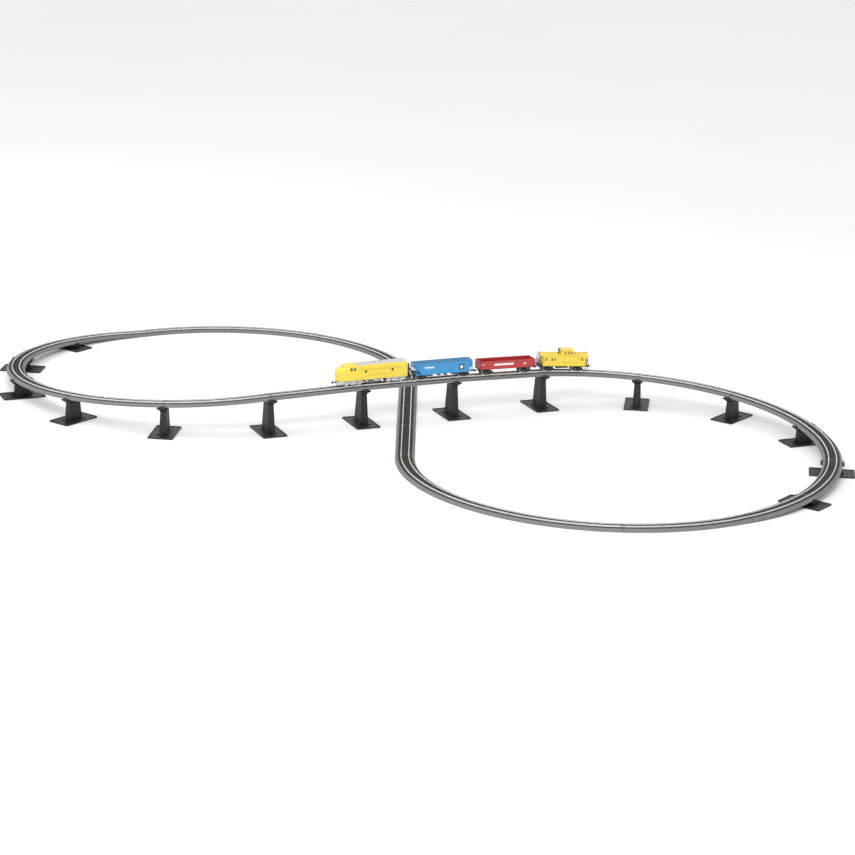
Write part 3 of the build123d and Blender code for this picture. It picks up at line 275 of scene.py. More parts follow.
made = {
    "black": plastic("black_plastic", BLACK, 0.5, dirt=BLACK_DUST, amount=0.25).done(),
    "pier": plastic(
        "pier_plastic", (0.009, 0.009, 0.009), 0.46, grain=0.00006, dirt=(0.08, 0.075, 0.07), amount=0.2
    ).done(),
    "silver": plastic(
        "silver_paint", SILVER, 0.38, grain=0.00003, dirt=(0.12, 0.10, 0.08), amount=0.45
    ).done(),
    "yellow": plastic("yellow_paint", YELLOW, 0.34, coat=0.25).done(),
    "blue": plastic("blue_paint", BLUE, 0.36, coat=0.2).done(),
    # Hopper roof: the darker teal of painted shade.
    "shaded_teal": plastic("teal_painted_shade", SHADED_TEAL, 0.42, coat=0.1).done(),
    "red": plastic("red_paint", RED, 0.4, coat=0.15).done(),
    # Ties: dark plastic, made darker still with painted shade between the rails.
    "tie": plastic(
        "tie_plastic", (0.014, 0.012, 0.011), 0.66, grain=0.00008, dirt=(0.08, 0.065, 0.05), amount=0.3
    ).done(),
    "rail": rail_material(),
    "joiner": metal("joiner_metal", (0.62, 0.60, 0.57), 0.38).done(),
    "wheel": metal("wheel_metal", (0.46, 0.44, 0.42), 0.34, amount=0.4).done(),
    "chrome": metal("bright_metal", (0.75, 0.75, 0.75), 0.2, amount=0.1).done(),
    "brass": metal("turned_brass", (0.74, 0.55, 0.26), 0.28).done(),
    "motor": metal("motor_can", (0.52, 0.52, 0.53), 0.4).done(),
    "lamp": plastic("lamp_red", (0.5, 0.03, 0.02), 0.2, coat=0.6).done(),
}


WINDSCREEN_X = 66.0


def glass_material():
    """Dark window panes."""
    paint = Paint("dark_window", (0.05, 0.06, 0.065), 0.12, coat=0.5)
    paint.mottle(300.0, (0.12, 0.13, 0.13), 0.5)
    paint.sheen_map(400.0, 0.08)
    return paint.done()


def loco_glass_and_reflection_material():
    """Dark side windows, and a windscreen made paler as a painted reflection."""
    paint = Paint("loco_window_and_reflection", (0.05, 0.06, 0.065), 0.12, coat=0.5)
    paint.mottle(300.0, (0.12, 0.13, 0.13), 0.5)
    along = paint.local(vehicles["locomotive"])["X"]
    # Painted reflection: the windscreen ahead of WINDSCREEN_X is made pale grey.
    paint.mix(paint.ramp(along, WINDSCREEN_X, WINDSCREEN_X + 0.5), (0.42, 0.44, 0.44))
    paint.sheen_map(400.0, 0.08)
    return paint.done()


made["glass"] = glass_material()


def roadbed_material():
    """Grey moulded ballast, paler down its sloped shoulders and dark on its flat top, where the black
    moulding and painted shade between the rails are laid in together; painted shade also darkens the gaps
    between the stones.
    """
    paint = Paint("roadbed_plastic", (0.215, 0.20, 0.195), 0.55)
    normal = paint.node("ShaderNodeNewGeometry").outputs["True Normal"]
    split = paint.node("ShaderNodeSeparateXYZ")
    paint.link(normal, split.inputs[0])
    # Black moulding and painted shade between the rails together: faces turned upwards are made near black.
    paint.mix(paint.ramp(split.outputs["Z"], 0.90, 0.985), (0.018, 0.016, 0.015))
    stones = paint.node("ShaderNodeTexVoronoi")
    stones.inputs["Scale"].default_value = 900.0
    paint.link(paint.coordinates, stones.inputs["Vector"])
    # Painted shade: the gaps between the ballast stones are darkened.
    painted_gap_shade = paint.ramp(stones.outputs["Distance"], 0.25, 0.75)
    paint.mix(paint.math("MULTIPLY", painted_gap_shade, 0.45), (0.05, 0.047, 0.044))
    paint.mottle(25.0, (0.13, 0.12, 0.115), 0.3)
    paint.sheen_map(200.0, 0.2)
    paint.relief(stones.outputs["Distance"], 0.6, 0.0004)
    return paint.done()


def loco_material():
    """Yellow body with a silver roof behind the cab, and a plain bar low on the sides."""
    paint = plastic("loco_paint", YELLOW, 0.32, coat=0.3)
    position = paint.local(vehicles["locomotive"])
    high_up = paint.ramp(position["Z"], 48.5, 48.8)
    behind_cab = paint.ramp(position["X"], 45.4, 45.0)
    paint.mix(paint.math("MULTIPLY", high_up, behind_cab), (0.52, 0.50, 0.46))
    paint.patch(position, (-35.0, 20.0), (24.4, 26.4), STRIPE, 0.5)
    return paint.done()


def hopper_material():
    """Blue sides with a darker teal top edge as painted shade, two plain bars and a plain square."""
    paint = plastic("hopper_paint", BLUE, 0.34, coat=0.25)
    position = paint.local(vehicles["hopper"])
    # Painted shade: the sides turn a darker teal above 37 mm.
    paint.mix(paint.ramp(position["Z"], 37.0, 37.3), SHADED_TEAL)
    paint.patch(position, (26.0, 50.0), (28.6, 31.2), WHITE)
    paint.patch(position, (26.0, 44.0), (25.2, 25.9), WHITE, 0.6)
    paint.patch(position, (-50.5, -37.0), (19.0, 32.0), (0.01, 0.03, 0.10))
    paint.patch(position, (-47.2, -40.3), (22.2, 28.8), WHITE)
    return paint.done()


def gondola_material():
    """Red sides with three plain pale bars."""
    paint = plastic("gondola_paint", RED, 0.4, coat=0.15)
    position = paint.local(vehicles["gondola"])
    paint.patch(position, (-14.0, 35.5), (22.6, 27.4), PALE_BAR, wall=17.0)
    paint.patch(position, (-47.5, -40.0), (22.6, 26.0), PALE_BAR, 0.8, wall=17.0)
    paint.patch(position, (61.0, 69.0), (24.6, 27.4), PALE_BAR, 0.8, wall=17.0)
    return paint.done()


def caboose_material():
    """Yellow sides with a plain darker bar."""
    paint = plastic("caboose_paint", YELLOW, 0.34, coat=0.25)
    position = paint.local(vehicles["caboose"])
    paint.patch(position, (-34.0, 6.0), (21.0, 23.2), STRIPE, 0.55)
    return paint.done()


def truck_material(end):
    """Locomotive truck: silver outer faces, and a dark grey of painted shade between them, with a random dust
    mottle.
    """
    paint = plastic(
        f"loco_{end}_truck_paint_and_shade", (0.03, 0.028, 0.026), 0.5, dirt=(0.10, 0.08, 0.06), amount=0.4
    )
    position = paint.local(truck_matrix("locomotive", end))
    # Painted shade: everything inside the silver outer faces stays dark grey.
    paint.mix(paint.ramp(paint.math("ABSOLUTE", position["Y"], None), 13.6, 13.7), SILVER)
    return paint.done()


def chassis_material():
    """Black chassis with a silver fuel tank."""
    paint = plastic("loco_chassis_paint", BLACK, 0.5, dirt=BLACK_DUST, amount=0.25)
    position = paint.local(vehicles["locomotive"])
    tank_length, tank_height = paint.band(position["X"], -19.5, 22.5), paint.band(position["Z"], 8.2, 14.5)
    paint.mix(paint.math("MULTIPLY", tank_length, tank_height), (0.50, 0.49, 0.46))
    return paint.done()


node_material = {
    "loco_front_truck": truck_material("front"), "loco_rear_truck": truck_material("rear"),
    "loco_shell": loco_material(), "loco_glazing": loco_glass_and_reflection_material(), "loco_chassis": chassis_material(),
    "loco_motor": made["motor"], "loco_drive_shaft": made["brass"],
    "hopper_body": hopper_material(), "hopper_roof": made["shaded_teal"], "hopper_underframe": made["black"],
    "gondola_body": gondola_material(), "gondola_underframe": made["black"],
    "caboose_body": caboose_material(), "caboose_roof": made["yellow"], "caboose_underframe": made["black"],
    "rail_joiners": made["joiner"],
}
roadbed = roadbed_material()


def finish_of(name):
    """Material of a CAD node."""
    if name in node_material:
        return node_material[name]
    for ending, material in (("roadbeds", roadbed), ("rails", made["rail"]), ("wheelset", made["wheel"])):
        if name.endswith(ending):
            return material
    if name.startswith("pier"):
        return made["pier"]
    return made["black"]


for name, thing in nodes.items():
    thing.data.materials.clear()
    thing.data.materials.append(finish_of(name))


# ------------------------------------------------------------------ mesh tools
def turned(sides):
    """Angles of equal steps round a circle."""
    return [2 * pi * step / sides for step in range(sides)]


def span(side, near, far):
    """(low, high) pair between two distances out from the middle, on one side."""
    return sorted((side * near, side * far))


class Shape:
    """Mesh under construction, in a frame's millimetres."""

    def __init__(self, matrix):
        self.matrix = matrix
        self.mesh = bmesh.new()

    def face_loop(self, rings):
        """Closed skin between rings of points, all of one length, capped at both ends."""
        made_rings = [[self.mesh.verts.new(point) for point in ring] for ring in rings]
        for one, other in zip(made_rings[:-1], made_rings[1:]):
            count = len(one)
            for index in range(count):
                following = (index + 1) % count
                self.mesh.faces.new((one[index], one[following], other[following], other[index]))
        self.mesh.faces.new(list(reversed(made_rings[0])))
        self.mesh.faces.new(made_rings[-1])

    def slab(self, x, y, z, taper=0.0):
        """Box between (low, high) pairs, its top drawn in by a taper."""
        rings = []
        for level_z, inset in ((z[0], 0.0), (z[1], taper)):
            x0, x1, y0, y1 = x[0] + inset, x[1] - inset, y[0] + inset, y[1] - inset
            rings.append([(x0, y0, level_z), (x1, y0, level_z), (x1, y1, level_z), (x0, y1, level_z)])
        self.face_loop(rings)

    def rod(self, points, radius, sides=8):
        """Round bar along a path of points."""
        path = [Vector(point) for point in points]
        rings = []
        normal = None
        for index, point in enumerate(path):
            ahead = path[min(index + 1, len(path) - 1)] - point
            behind = point - path[max(index - 1, 0)]
            tangent = (ahead.normalized() + behind.normalized()).normalized()
            if normal is None:
                normal = tangent.orthogonal().normalized()
            normal = (normal - tangent * normal.dot(tangent)).normalized()
            side = tangent.cross(normal)
            rings.append([point + (normal * cos(a) + side * sin(a)) * radius for a in turned(sides)])
        self.face_loop(rings)

    def lathe(self, centre, axis, profile, sides=24):
        """Surface of revolution: profile holds (distance along the axis, radius)."""
        axis = Vector(axis).normalized()
        normal = axis.orthogonal().normalized()
        side = axis.cross(normal)
        centre = Vector(centre)
        rings = []
        for distance, radius in profile:
            middle = centre + axis * distance
            rings.append([middle + (normal * cos(a) + side * sin(a)) * radius for a in turned(sides)])
        self.face_loop(rings)

    def coil(self, low, high, radius, wire, turns):
        """Coil spring between two points."""
        low, high = Vector(low), Vector(high)
        axis = (high - low).normalized()
        normal = axis.orthogonal().normalized()
        side = axis.cross(normal)
        path = []
        steps = int(turns * 12)
        for step in range(steps + 1):
            angle = 2 * pi * turns * step / steps
            middle = low.lerp(high, step / steps)
            path.append(middle + (normal * cos(angle) + side * sin(angle)) * radius)
        self.rod(path, wire, 6)

    def grab(self, one, other, out, radius=0.28):
        """Grab iron: a bar that stands off the wall between two feet."""
        one, other, out = Vector(one), Vector(other), Vector(out)
        lean = (other - one).normalized() * 0.35
        first_bend, last_bend = one + out * 0.75, other + out * 0.75
        self.rod([one, first_bend, one + out + lean, other + out - lean, last_bend, other], radius, 6)

    def place(self, name, body, material, slot, bevel=0.0, smooth=False):
        """Finish the piece and let it ride on a body."""
        bmesh.ops.recalc_face_normals(self.mesh, faces=self.mesh.faces)
        bmesh.ops.transform(self.mesh, matrix=self.matrix, verts=self.mesh.verts)
        data = bpy.data.meshes.new(name)
        self.mesh.to_mesh(data)
        self.mesh.free()
        piece = bpy.data.objects.new(name, data)
        bpy.context.scene.collection.objects.link(piece)
        data.materials.append(made[material] if isinstance(material, str) else material)
        if smooth:
            data.shade_smooth()
            data.set_sharp_from_angle(angle=radians(40))
        if bevel:
            round_edges = piece.modifiers.new("round_edges", "BEVEL")
            round_edges.width = bevel * MM
            round_edges.segments = 2
            round_edges.limit_method = "ANGLE"
            round_edges.angle_limit = radians(35)
        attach(piece, body)


# ------------------------------------------------------------------ the route, as built
CURVE_RADIUS = 457.2
CURVE_ANGLE = 30.0
STRAIGHT = 228.6
UPPER_HEADING = degrees(atan2(CURVE_RADIUS, 1.5 * STRAIGHT))
LOWER_HEADING = -60.0
LOOP_CENTRE = CURVE_RADIUS / sin(radians(UPPER_HEADING))
CLOSING_ANGLE = 180 + UPPER_HEADING - LOWER_HEADING - 9 * CURVE_ANGLE
FILLER = LOOP_CENTRE + CURVE_RADIUS / sin(radians(LOWER_HEADING))
LOWER_REACH = (LOOP_CENTRE + FILLER) / 2
PIER_HEIGHTS = (84.5, 79.5, 66.5, 53.0, 39.5, 25.5, 11.5)
RAMP_FOOT = 1.5
LOOP_TURNS = [CURVE_ANGLE] * 5 + [CLOSING_ANGLE, 0.0] + [CURVE_ANGLE] * 4
LOOP_HEIGHTS = list(PIER_HEIGHTS[1:]) + [RAMP_FOOT] + [0.0] * 5


def heading_vector(angle):
    """Level unit vector at an angle in degrees."""
    return Vector((cos(radians(angle)), sin(radians(angle)), 0))


def loop_joints(sign):
    """Joints of a loop, down the ramp and round to the ground line."""
    angle = 90 + UPPER_HEADING
    centre = Vector((LOOP_CENTRE, 0, 0))
    found = [centre + heading_vector(angle) * CURVE_RADIUS]
    for turn in LOOP_TURNS:
        angle -= turn
        if turn == 0:
            centre = centre + heading_vector(angle - 90) * FILLER
        found.append(centre + heading_vector(angle) * CURVE_RADIUS)
    return [place * sign + Vector((0, 0, height)) for place, height in zip(found, LOOP_HEIGHTS)]


def straight_pieces(heading, distances, heights):
    """(start, end, turn, length) of the straights through the crossing."""
    ends = [heading_vector(heading) * d + Vector((0, 0, h)) for d, h in zip(distances, heights)]
    return [(one, other, 0.0, (other - one).length) for one, other in zip(ends[:-1], ends[1:])]


def loop_pieces(sign):
    """(start, end, turn, length) of a loop's curves and its filler straight."""
    found = loop_joints(sign)
    return [
        (one, other, -turn, CURVE_RADIUS * radians(turn) if turn else FILLER)
        for one, other, turn in zip(found[:-1], found[1:], LOOP_TURNS)
    ]


def along_piece(piece, distance):
    """Matrix of the track's cross frame, a distance from the middle of a piece: y left, z up."""
    start, end, turn, _ = piece
    middle, ahead = (start + end) / 2, (end - start).normalized()
    left = Vector((0, 0, 1)).cross(ahead).normalized()
    lift = ahead.cross(left)
    bend = distance / CURVE_RADIUS if turn else 0.0
    if turn:
        bulge = CURVE_RADIUS * (cos(bend) - cos(radians(turn / 2)))
        middle = middle + ahead * (CURVE_RADIUS * sin(bend)) + left * bulge
    else:
        middle = middle + ahead * distance
    tangent = ahead * cos(bend) - left * sin(bend)
    return frame_matrix(middle * MM, tangent, lift)


CROSSING_JOINTS = (-1.5 * STRAIGHT, -0.5 * STRAIGHT, 0.5 * STRAIGHT, 1.5 * STRAIGHT)
CROSSING_HEIGHTS = (PIER_HEIGHTS[1], PIER_HEIGHTS[0], PIER_HEIGHTS[0], PIER_HEIGHTS[1])
LOWER_INNER = LOWER_REACH - STRAIGHT
LOWER_JOINTS = (-LOWER_REACH, -LOWER_INNER, LOWER_INNER, LOWER_REACH)
track = {
    "upper": straight_pieces(UPPER_HEADING, CROSSING_JOINTS, CROSSING_HEIGHTS),
    "lower": straight_pieces(LOWER_HEADING, LOWER_JOINTS, (0, 0, 0, 0)),
    "right": loop_pieces(1),
    "left": loop_pieces(-1),
}
TIE_PITCH = 7.62
TIE_TOP, TIE_TOP_AT_JOINER = 7.78, 7.3
JOINER_REACH = 7.4
RAIL_CENTRE, SPIKE_OFFSET = 8.725, 1.22


def lay_ties(name, pieces):
    """Ties under the rails, each with its spike heads, moulded with the roadbed."""
    shape = Shape(Matrix.Identity(4))
    heads = Shape(Matrix.Identity(4))
    for piece in pieces:
        length = piece[3]
        count = round(length / TIE_PITCH)
        for index in range(count):
            distance = (index + 0.5) * length / count - length / 2
            near_joint = length / 2 - abs(distance) < JOINER_REACH
            top = TIE_TOP_AT_JOINER if near_joint else TIE_TOP
            matrix = along_piece(piece, distance)
            rings = []
            for z, half_x, half_y in ((6.9, 1.45, 15.2), (top - 0.15, 1.3, 15.0), (top, 1.05, 14.7)):
                corners = ((-half_x, -half_y), (half_x, -half_y), (half_x, half_y), (-half_x, half_y))
                rings.append([matrix @ Vector((x, y, z)) for x, y in corners])
            shape.face_loop(rings)
            if near_joint:
                continue
            for centre in (-RAIL_CENTRE, RAIL_CENTRE):
                for y in (centre - SPIKE_OFFSET, centre + SPIKE_OFFSET):
                    rings = []
                    for z, half in ((7.7, 0.34), (8.2, 0.3), (8.36, 0.16)):
                        corners = ((-half, -half), (half, -half), (half, half), (-half, half))
                        rings.append([matrix @ Vector((x, y + w, z)) for x, w in corners])
                    heads.face_loop(rings)
    shape.place(f"{name}_ties", "layout", "tie", "roadbed_grey")
    heads.place(f"{name}_spike_heads", "layout", "tie", "roadbed_grey")


for group, pieces in track.items():
    lay_ties(group, pieces)


# ------------------------------------------------------------------ piers
PLATE_THICK, NECK_ALONG, NECK_ACROSS = 2.2, 12.5, 34.0
TAPER_ALONG, TAPER_ACROSS = 0.075, 0.13
FLARE_DROP, RIM_RISE, LOWEST_RIBBED = 10.05, 0.9, 6


def pier_matrix(number, sign):
    """Ground frame of a pier, x along the track."""
    if number < 2:
        direction = heading_vector(UPPER_HEADING)
        place = direction * CROSSING_JOINTS[number + 2] * sign
    else:
        direction = heading_vector(UPPER_HEADING - CURVE_ANGLE * (number - 1))
        place = loop_joints(sign)[number - 1]
    return frame_matrix(Vector((place.x, place.y, 0)) * MM, direction, Vector((0, 0, 1)))


def pier_trim(number):
    """Column ribs and a collar under the flare of one pair of piers."""
    flare_base = max(PIER_HEIGHTS[number] - FLARE_DROP, PLATE_THICK + RIM_RISE)
    if flare_base - PLATE_THICK < LOWEST_RIBBED:
        return
    for sign, side in ((1, "right"), (-1, "left")):
        shape = Shape(pier_matrix(number, sign))
        low, high = PLATE_THICK + 0.4, flare_base
        for face in (-1, 1):
            for share in (-0.86, -0.3, 0.3, 0.86):
                rings = []
                for z in (low, high):
                    drop = flare_base - z
                    x = face * (NECK_ALONG + TAPER_ALONG * drop) / 2
                    y = share * (NECK_ACROSS + TAPER_ACROSS * drop) / 2
                    rings.append([(x - face * 0.3, y - 0.8, z), (x + face * 0.65, y - 0.5, z),
                                  (x + face * 0.65, y + 0.5, z), (x - face * 0.3, y + 0.8, z)])
                shape.face_loop(rings)
            for share in (-0.62, 0.62):
                rings = []
                for z in (low, high):
                    drop = flare_base - z
                    y = face * (NECK_ACROSS + TAPER_ACROSS * drop) / 2
                    x = share * (NECK_ALONG + TAPER_ALONG * drop) / 2
                    rings.append([(x - 0.7, y - face * 0.3, z), (x - 0.45, y + face * 0.6, z),
                                  (x + 0.45, y + face * 0.6, z), (x + 0.7, y - face * 0.3, z)])
                shape.face_loop(rings)
        half_x, half_y = NECK_ALONG / 2 + 0.9, NECK_ACROSS / 2 + 0.9
        shape.slab((-half_x, half_x), (-half_y, half_y), (flare_base - 1.2, flare_base + 0.2))
        shape.place(f"pier_{number + 1}_{side}_ribs", "layout", "pier", "pier_black", bevel=0.12)


for number in range(len(PIER_HEIGHTS)):
    pier_trim(number)


# ------------------------------------------------------------------ running gear details
FREIGHT_AXLES, FREIGHT_FACE = (-10, 10), 13.0
POWER_AXLES = (-15.75, 15.75)


def freight_truck(body, end):
    """Springs, journal boxes and brake gear of a freight truck."""
    matrix = truck_matrix(body, end)
    springs, boxes = Shape(matrix), Shape(matrix)
    for side in (-1, 1):
        for x in (-1.9, 1.9):
            springs.coil((x, side * 12.3, 2.4), (x, side * 12.3, 6.6), 0.95, 0.3, 4)
        for x in FREIGHT_AXLES:
            face = side * FREIGHT_FACE
            out = sorted((face, face + side * 0.9))
            boxes.slab((x - 1.5, x + 1.5), out, (3.7, 6.5))
            boxes.rod([(x - 1.2, face + side * 0.9, 6.2), (x + 1.2, face + side * 0.9, 6.2)], 0.3)
            boxes.lathe((x, face + side * 0.8, 4.9), (0, side, 0), [(0, 0.9), (0.25, 0.8), (0.3, 0.3)], 12)
        for x in (-5.4, 5.4):
            boxes.slab((x - 0.4, x + 0.4), span(side, 12.9, 13.35), (2.9, 7.4))
    for x in (-4.0, 4.0):
        boxes.rod([(x, -9.8, 3.6), (x, 9.8, 3.6)], 0.5)
        for side in (-1, 1):
            boxes.slab(sorted((x, x * 1.28)), span(side, 7.6, 9.8), (2.8, 5.4))
    springs.place(f"{body}_{end}_truck_springs", f"{body}_{end}_truck", "black", "truck_black", smooth=True)
    boxes.place(f"{body}_{end}_truck_boxes", f"{body}_{end}_truck", "black", "truck_black", bevel=0.15)


for body in VEHICLES[1:]:
    for end in ("front", "rear"):
        freight_truck(body, end)


def power_truck(end):
    """Springs, journal boxes, brake cylinders and sand pipes of a locomotive truck."""
    matrix = truck_matrix("locomotive", end)
    boxes, springs = Shape(matrix), Shape(matrix)
    journal_cap = [(0, 1.7), (0.5, 1.6), (0.7, 1.0), (0.8, 0.3)]
    brake_cylinder = [(-2.4, 1.2), (-2.0, 1.4), (2.0, 1.4), (2.4, 1.2)]
    sand_pipe = [(21.5, 14.2, 11.2), (20.4, 14.2, 8.0), (20.6, 12.6, 3.4)]
    for side in (-1, 1):
        for x in POWER_AXLES:
            boxes.slab((x - 2.4, x + 2.4), span(side, 13.8, 15.2), (3.9, 8.0))
            boxes.lathe((x, side * 15.0, 5.9), (0, side, 0), journal_cap, 16)
            for offset in (-3.4, 3.4):
                foot, head = (x + offset, side * 14.6, 7.0), (x + offset, side * 14.6, 10.6)
                springs.coil(foot, head, 0.9, 0.32, 3.5)
        for x in (-5.6, 5.6):
            boxes.lathe((x, side * 14.2, 10.2), (x, 0, 0), brake_cylinder, 14)
        for step in range(6):
            x = -4.4 + step * 1.76
            boxes.slab((x - 0.45, x + 0.45), span(side, 13.8, 14.7), (4.6 + abs(x) * 0.2, 8.4))
        for way in (-1, 1):
            boxes.rod([(way * x, side * y, z) for x, y, z in sand_pipe], 0.4)
    truck = f"locomotive_{end}_truck"
    boxes.place(f"{truck}_boxes", truck, "silver", "truck_silver", bevel=0.15)
    springs.place(f"{truck}_springs", truck, "silver", "truck_silver", smooth=True)


for end in ("front", "rear"):
    power_truck(end)


COUPLER_REACH, LONG_REACH = 12.0, 14.5


def coupler_trim(body, end):
    """Knuckle pin and trip pin of a coupler."""
    place, lift = pivot(f"{body}_{end}_coupler_swing")
    facing = vehicles[body].to_3x3() @ Vector((1 if end == "front" else -1, 0, 0))
    shape = Shape(frame_matrix(place, facing, lift))
    reach = LONG_REACH if (body, end) == ("locomotive", "front") else COUPLER_REACH
    shape.lathe((reach - 3.0, -1.2, 1.9), (0, 0, 1), [(0, 0.8), (0.5, 0.75), (0.7, 0.4)], 12)
    trip_pin = [(3.6, 0, -1.8), (3.6, 0, -3.6), (3.0, 0.3, -4.6), (1.8, 0.9, -5.0)]
    shape.rod([(reach - short, y, z) for short, y, z in trip_pin], 0.3)
    shape.place(f"{body}_{end}_coupler_pins", f"{body}_{end}_coupler", "joiner", "joiner_metal", smooth=True)


for body in VEHICLES:
    for end in ("front", "rear"):
        coupler_trim(body, end)


def brake_wheel(shape, centre, axis, radius=3.0):
    """Spoked hand-brake wheel on its shaft."""
    centre, axis = Vector(centre), Vector(axis).normalized()
    normal = axis.orthogonal().normalized()
    side = axis.cross(normal)
    rim = [centre + (normal * cos(a) + side * sin(a)) * radius for a in [*turned(24), 2 * pi]]
    shape.rod(rim, 0.32, 6)
    for angle in turned(5):
        shape.rod([centre, centre + (normal * cos(angle) + side * sin(angle)) * radius], 0.22, 6)
    shape.lathe(centre, axis, [(-1.6, 0.35), (0.3, 0.4), (0.5, 0.75), (-0.4, 0.8), (-0.5, 0.4)], 10)


def ladder(shape, x, y, z, across_dir, out, rungs):
    """Two stiles and rungs against a wall: across_dir runs along the wall, out away from it."""
    base = Vector((x, y, z[0]))
    half, off = Vector(across_dir) * 2.2, Vector(out) * 0.8
    rise = Vector((0, 0, z[1] - z[0]))
    for sign in (-1, 1):
        foot = base + half * sign
        shape.rod([foot, foot + off, foot + off + rise, foot + rise], 0.26, 6)
    for step in range(rungs):
        height = Vector((0, 0, (step + 0.5) * (z[1] - z[0]) / rungs))
        shape.rod([base - half + off + height, base + half + off + height], 0.22, 6)


# ------------------------------------------------------------------ locomotive
loco = vehicles["locomotive"]
FANS, STACKS = (28.0, 12.5, -37.0, -52.5), (-4.0, -20.0)
PORTHOLES, CAB_WINDOWS = (22.3, -43.5), ((58.5, 5.4), (49.8, 4.6))
SIDE = 18.2
ROOF_SLOPE = 0.0056
WINDOW_LEAN = 1.0


def loco_sides():
    """Grilles, doors, panel battens, steps and grab irons."""
    grilles, battens, irons = Shape(loco), Shape(loco), Shape(loco)
    for side in (-1, 1):
        out, slim = span(side, SIDE - 0.1, SIDE + 0.28), span(side, SIDE - 0.1, SIDE + 0.18)
        for z in (36.6, 40.9):
            grilles.slab((-66.0, 32.0), out, (z, z + 0.5))
        for step in range(8):
            z = 37.3 + step * 0.46
            grilles.slab((-65.6, 31.6), slim, (z, z + 0.2))
        for step in range(15):
            x = -66.0 + step * 7.0
            grilles.slab((x - 0.3, x + 0.3), out, (36.6, 41.4))
        for x in (-74.0, -40.0, -8.0, 26.0):
            battens.slab((x - 0.35, x + 0.35), slim, (15.4, 36.6))
        battens.slab((-79.5, 60.0), slim, (19.0, 19.5))
        for low, high in ((34.0, 40.6), (-78.6, -75.2)):
            battens.slab((low - 0.3, low), out, (17.5, 40.4))
            battens.slab((high, high + 0.3), out, (17.5, 40.4))
            battens.slab((low - 0.3, high + 0.3), out, (40.1, 40.5))
        for x in (33.0, 42.0):
            irons.grab((x, side * SIDE, 19.0), (x, side * SIDE, 33.5), (0, side * 0.9, 0))
        for x in (37.3, -76.6):
            for z in (12.4, 14.0):
                irons.slab((x - 2.4, x + 2.4), span(side, SIDE - 1.8, SIDE - 0.2), (z - 0.2, z + 0.2))
            for dx in (-2.3, 2.3):
                y = side * (SIDE - 0.5)
                irons.rod([(x + dx, y, 11.9), (x + dx, y, 15.6)], 0.28, 6)
    grilles.place("locomotive_side_grilles", "locomotive", "yellow", "loco_yellow")
    battens.place("locomotive_panel_battens", "locomotive", "yellow", "loco_yellow")
    irons.place("locomotive_steps_and_irons", "locomotive", "yellow", "loco_yellow", smooth=True)


def loco_openings():
    """Frames round the cab windows and portholes, and the headlight's bezel."""
    rims, headlight = Shape(loco), Shape(loco)
    ring = [(0, 2.1), (0.6, 2.15), (0.75, 2.6), (0.2, 2.75), (0, 2.7)]
    bezel = [(0, 3.4), (1.6, 3.35), (2.0, 3.0), (1.9, 2.6), (0.8, 2.4), (0.8, 0.2)]
    for side in (-1, 1):
        for x in PORTHOLES:
            rims.lathe((x, side * (SIDE - 0.3), 33.8), (0, side, 0), ring, 24)
        for x, length in CAB_WINDOWS:
            y = span(side, SIDE - 0.5, SIDE + 0.2)
            head_y = [v - side * WINDOW_LEAN for v in y]
            low_x, high_x = x - length / 2 - 0.4, x + length / 2 + 0.4
            rims.slab((low_x, high_x), y, (38.5, 38.9))
            rims.slab((low_x, high_x), head_y, (45.0, 45.4))
            for edge in (-length / 2 - 0.4, length / 2):
                rims.slab((x + edge, x + edge + 0.4), y, (38.5, 41.8))
    rims.place("locomotive_window_rims", "locomotive", "black", "chassis_metal", bevel=0.08)
    headlight.lathe((88.9, 0, 33.0), (1, 0, 0.25), bezel, 24)
    headlight.place("locomotive_headlight_bezel", "locomotive", "chrome", "motor_metal", smooth=True)


def loco_roof():
    """Fans, exhaust stacks, horn and lifting eyes along the roof."""
    fans, dark = Shape(loco), Shape(loco)
    shroud = [(0, 6.2), (1.0, 6.1), (1.26, 5.8), (1.26, 5.3), (0.9, 5.2), (0.9, 0.2)]
    for x in FANS:
        base = 50.28 + (x + 81.0) * ROOF_SLOPE
        fans.lathe((x, 0, base), (0, 0, 1), shroud, 32)
        for angle in turned(8):
            tip = (x + 5.3 * cos(angle), 5.3 * sin(angle), base + 1.05)
            fans.rod([(x, 0, base + 1.05), tip], 0.2, 6)
        fans.lathe((x, 0, base + 0.2), (0, 0, 1), [(0, 1.6), (0.9, 1.5), (1.06, 0.9), (1.06, 0.1)], 16)
    for x in STACKS:
        dark.slab((x - 3.4, x + 3.4), (-2.2, 2.2), (50.9, 51.65), taper=0.3)
        dark.slab((x - 2.6, x + 2.6), (-1.4, 1.4), (51.5, 51.8))
    for x in (20.2, -28.5, -61.0, -70.0):
        for y in (-7.0, 7.0):
            dark.grab((x - 1.0, y, 50.5), (x + 1.0, y, 50.5), (0, 0, 0.75), 0.25)
    horn = [(-3.5, 0.35), (0, 0.4), (2.6, 0.55), (3.4, 0.8), (3.3, 0.65), (2.4, 0.3)]
    for y in (-4.5, 4.5):
        fans.lathe((50.0, y, 51.35), (1, 0, 0), horn, 14)
    fans.place("locomotive_roof_fans", "locomotive", "silver", "truck_silver", smooth=True)
    dark.place("locomotive_exhaust_stacks", "locomotive", "black", "chassis_metal", bevel=0.15)


